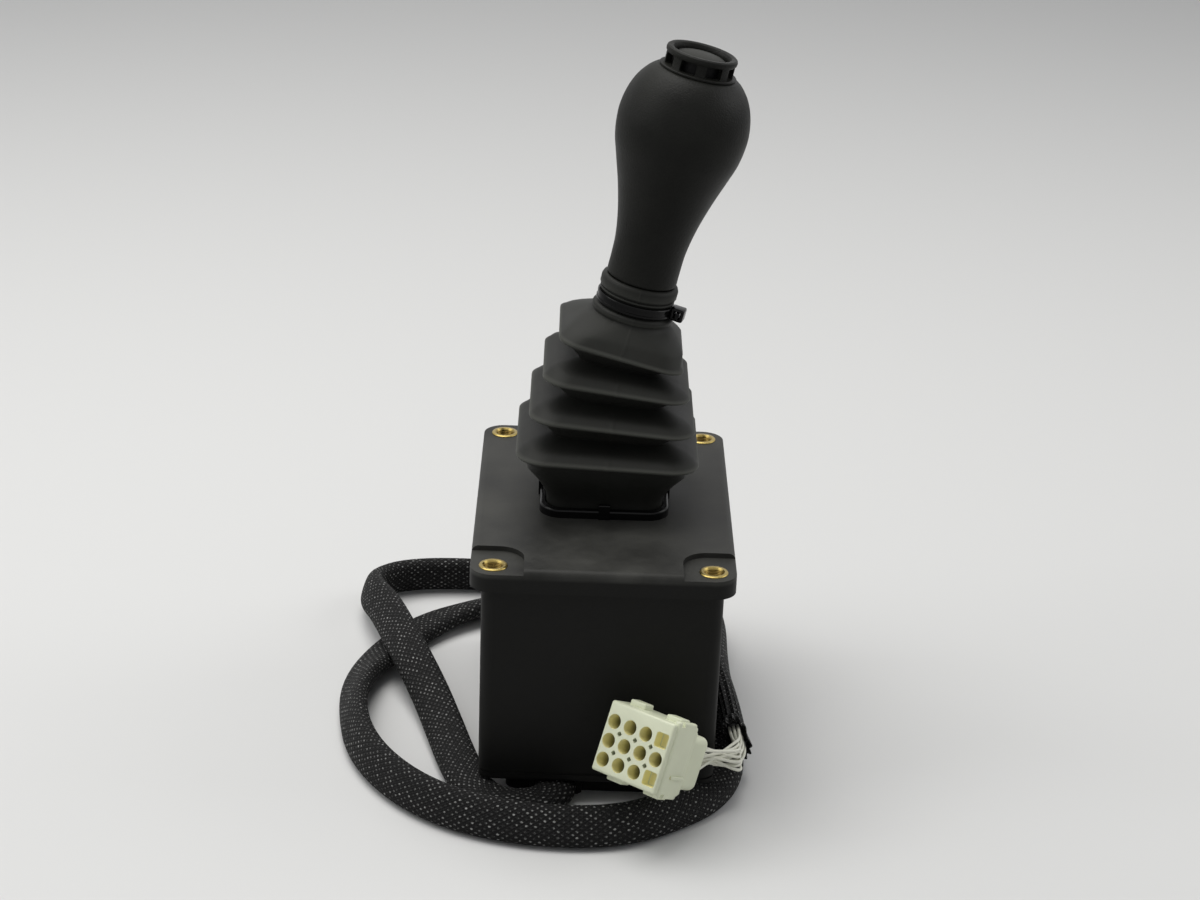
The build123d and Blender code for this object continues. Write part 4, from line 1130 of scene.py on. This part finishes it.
class JOYSTICK_OT_plug(Operator):
    """Make the twelve-way plug with its silos, latches and rounded shoulder"""

    bl_idname = "joystick.plug"
    bl_label = "Plug"

    def execute(self, context):
        pitch = sizes().pitch / MM
        body = block("plug_body", (27.6, 25.0, 15.2), (0, 1.1, -7.6), 0.9, segments=4)
        collar = block("plug_collar", (28.0, 23.0, 5.6), (0, 0.6, -12.8), 0.9, segments=4)
        rear = block("plug_rear", (26.8, 19.4, 12.4), (0, 0.4, -20.0), 2.8, segments=6)
        pieces = [body, collar, rear]
        plate = block("plug_plate", (2.8, 27.2, 11.2), (13.1, 1.2, -7.4), 0.9)
        notches = [block("plate_notch", (4.0, 3.4, 2.2), (13.1, y, -4.2), 0.2) for y in (-12.4, 14.8)]
        pieces.append(cut(plate, *notches))
        for x, y in ((-6.6, 14.2), (9.2, 14.0), (-6.6, -12.0), (9.2, -11.8)):
            ear = block("plug_ear", (6.6, 2.8, 5.2), (x, y, -7.8), 0.5)
            notch = block("ear_notch", (3.2, 2.4, 2.6), (x, y + 1.2 * y / abs(y), -7.8), 0.25)
            pieces.append(cut(ear, notch))
        for y in (-4.6, 4.6):
            pieces.append(block("plug_rib", (30.4, 1.3, 8.0), (0, y, -9.4), 0.4))
        piece = merge("plug_shell", *pieces)
        silo, deep = 2.6, 14.0
        holes = []
        for col, row, x, y in silo_places(pitch):
            if col == 3 and row != 1:
                holes.append(block("silo", (5.2, 5.2, 6.0), (x, y, -1.2), 0.8))
            else:
                holes.append(turned("silo", [(0, 1), (silo, 1), (silo, -deep), (0, -deep)], 40))
                holes[-1].data.transform(Matrix.Translation((x * MM, y * MM, 0)))
        for col in range(3):
            for row in range(2):
                turn = Matrix.Rotation(pi / 4, 4, "Z")
                shift = Matrix.Translation(((col - 1) * pitch * MM, (0.5 - row) * pitch * MM, 0))
                holes.append(block("void", (1.5, 1.5, 13.0), (0, 0, -5.5), 0.35, shift @ turn))
        cut(piece, merge("holes", *holes))
        tidy(piece, 30)
        mark = piece.data.attributes.new("silo", "FLOAT", "FACE")
        for polygon in piece.data.polygons:
            at = polygon.center / MM
            near = any(max(abs(at.x - x), abs(at.y - y)) < silo + 0.02 for _, _, x, y in silo_places(pitch))
            wall_or_floor = polygon.normal.z < 0.5 or at.z < -4
            mark.data[polygon.index].value = float(near and wall_or_floor and -deep - 0.5 < at.z < -0.15)
        settle(piece, plug_matrix())
        dress(piece, "connector_nylon", "base", "connector_housing")

        barrel = [(0.75, -8.6), (1.05, -8.2), (1.3, -8.6), (1.3, -12.4), (1.05, -12.8), (0.75, -12.8)]
        contact = turned("contact", barrel, 24, closed=True)
        places = [Matrix.Translation((x * MM, y * MM, 0)) for _, _, x, y in silo_places(pitch)]
        contacts = merge("plug_contacts", *copies(contact, places))
        settle(contacts, plug_matrix())
        dress(contacts, "brass", "base", "connector_contacts")
        return {"FINISHED"}


class JOYSTICK_OT_wires(Operator):
    """Lead the plug's wires round into the sleeve"""

    bl_idname = "joystick.wires"
    bl_label = "Plug wires"

    def execute(self, context):
        size = sizes()
        plug, sleeve = plug_matrix(), sleeve_end_place()
        for number, (col, row, x, y) in enumerate(silo_places(size.pitch), 1):
            across, rise = (col - 1.5) * 2.5 * MM, (1 - row) * 1.6 * MM
            wander = 1.5 * MM * sin(2.4 * number)
            points = [
                sleeve @ Vector((across, rise, 3.1 * MM)), sleeve @ Vector((across, rise, 13.0 * MM)),
                WIRE_TURN + Vector((rise, wander - 2 * rise, 1.2 * across - wander)),
                plug @ Vector((x * 0.5 - wander, y * 0.6 + wander, -32.0 * MM)),
                plug @ Vector((x * 0.8, y * 0.8, -23.5 * MM)),
                plug @ Vector((x, y, -14.1 * MM))]
            wire = spline_of(f"plug_wire_{number:02d}", points)
            line = points_along(wire)
            wire.data.bevel_depth = size.wire / 2
            wire.data.bevel_resolution = 3
            wire.data.use_fill_caps = True
            dress(wire, "wire_white", "base", *(["connector_wires"] if number == 1 else []))
        return {"FINISHED"}


class JOYSTICK_OT_finishes(Operator):
    """Give every frame node its finish, and the boot frame the gloss of the tie"""

    bl_idname = "joystick.finishes"
    bl_label = "Finishes"

    def execute(self, context):
        slots = {part["node"]: part["material_slot"] for part in frame["record"]["subparts"]}
        slots["boot_frame"] = "tie_nylon"
        for name, node in frame["nodes"].items():
            node.data.materials.clear()
            node.data.materials.append(finish_for(slots[name]))
        return {"FINISHED"}


class JOYSTICK_PT_panel(Panel):
    """Sizes, colours and steps of the joystick"""

    bl_label = "Joystick"
    bl_idname = "JOYSTICK_PT_panel"
    bl_space_type = "VIEW_3D"
    bl_region_type = "UI"
    bl_category = "Joystick"

    def draw(self, context):
        for group in (context.scene.joystick_sizes, context.scene.joystick_colours):
            box = self.layout.box()
            for name in group.__annotations__:
                box.prop(group, name)
        for step in STEPS:
            self.layout.operator(step.bl_idname)


STEPS = (
    JOYSTICK_OT_stage, JOYSTICK_OT_finishes, JOYSTICK_OT_sleeve_mouth, JOYSTICK_OT_cable, JOYSTICK_OT_plug,
    JOYSTICK_OT_wires, JOYSTICK_OT_gaiter, JOYSTICK_OT_grip, JOYSTICK_OT_guard, JOYSTICK_OT_button,
    JOYSTICK_OT_tie, JOYSTICK_OT_inserts,
)
CLASSES = (JoystickSizes, JoystickColours, *STEPS, JOYSTICK_PT_panel)


def register():
    for item in CLASSES:
        bpy.utils.register_class(item)
    bpy.types.Scene.joystick_sizes = bpy.props.PointerProperty(type=JoystickSizes)
    bpy.types.Scene.joystick_colours = bpy.props.PointerProperty(type=JoystickColours)


def unregister():
    del bpy.types.Scene.joystick_colours
    del bpy.types.Scene.joystick_sizes
    for item in reversed(CLASSES):
        bpy.utils.unregister_class(item)


def main():
    register()
    for step in STEPS:
        getattr(bpy.ops.joystick, step.bl_idname.split(".")[1])()
    clear_selection()


if __name__ == "__main__":
    main()
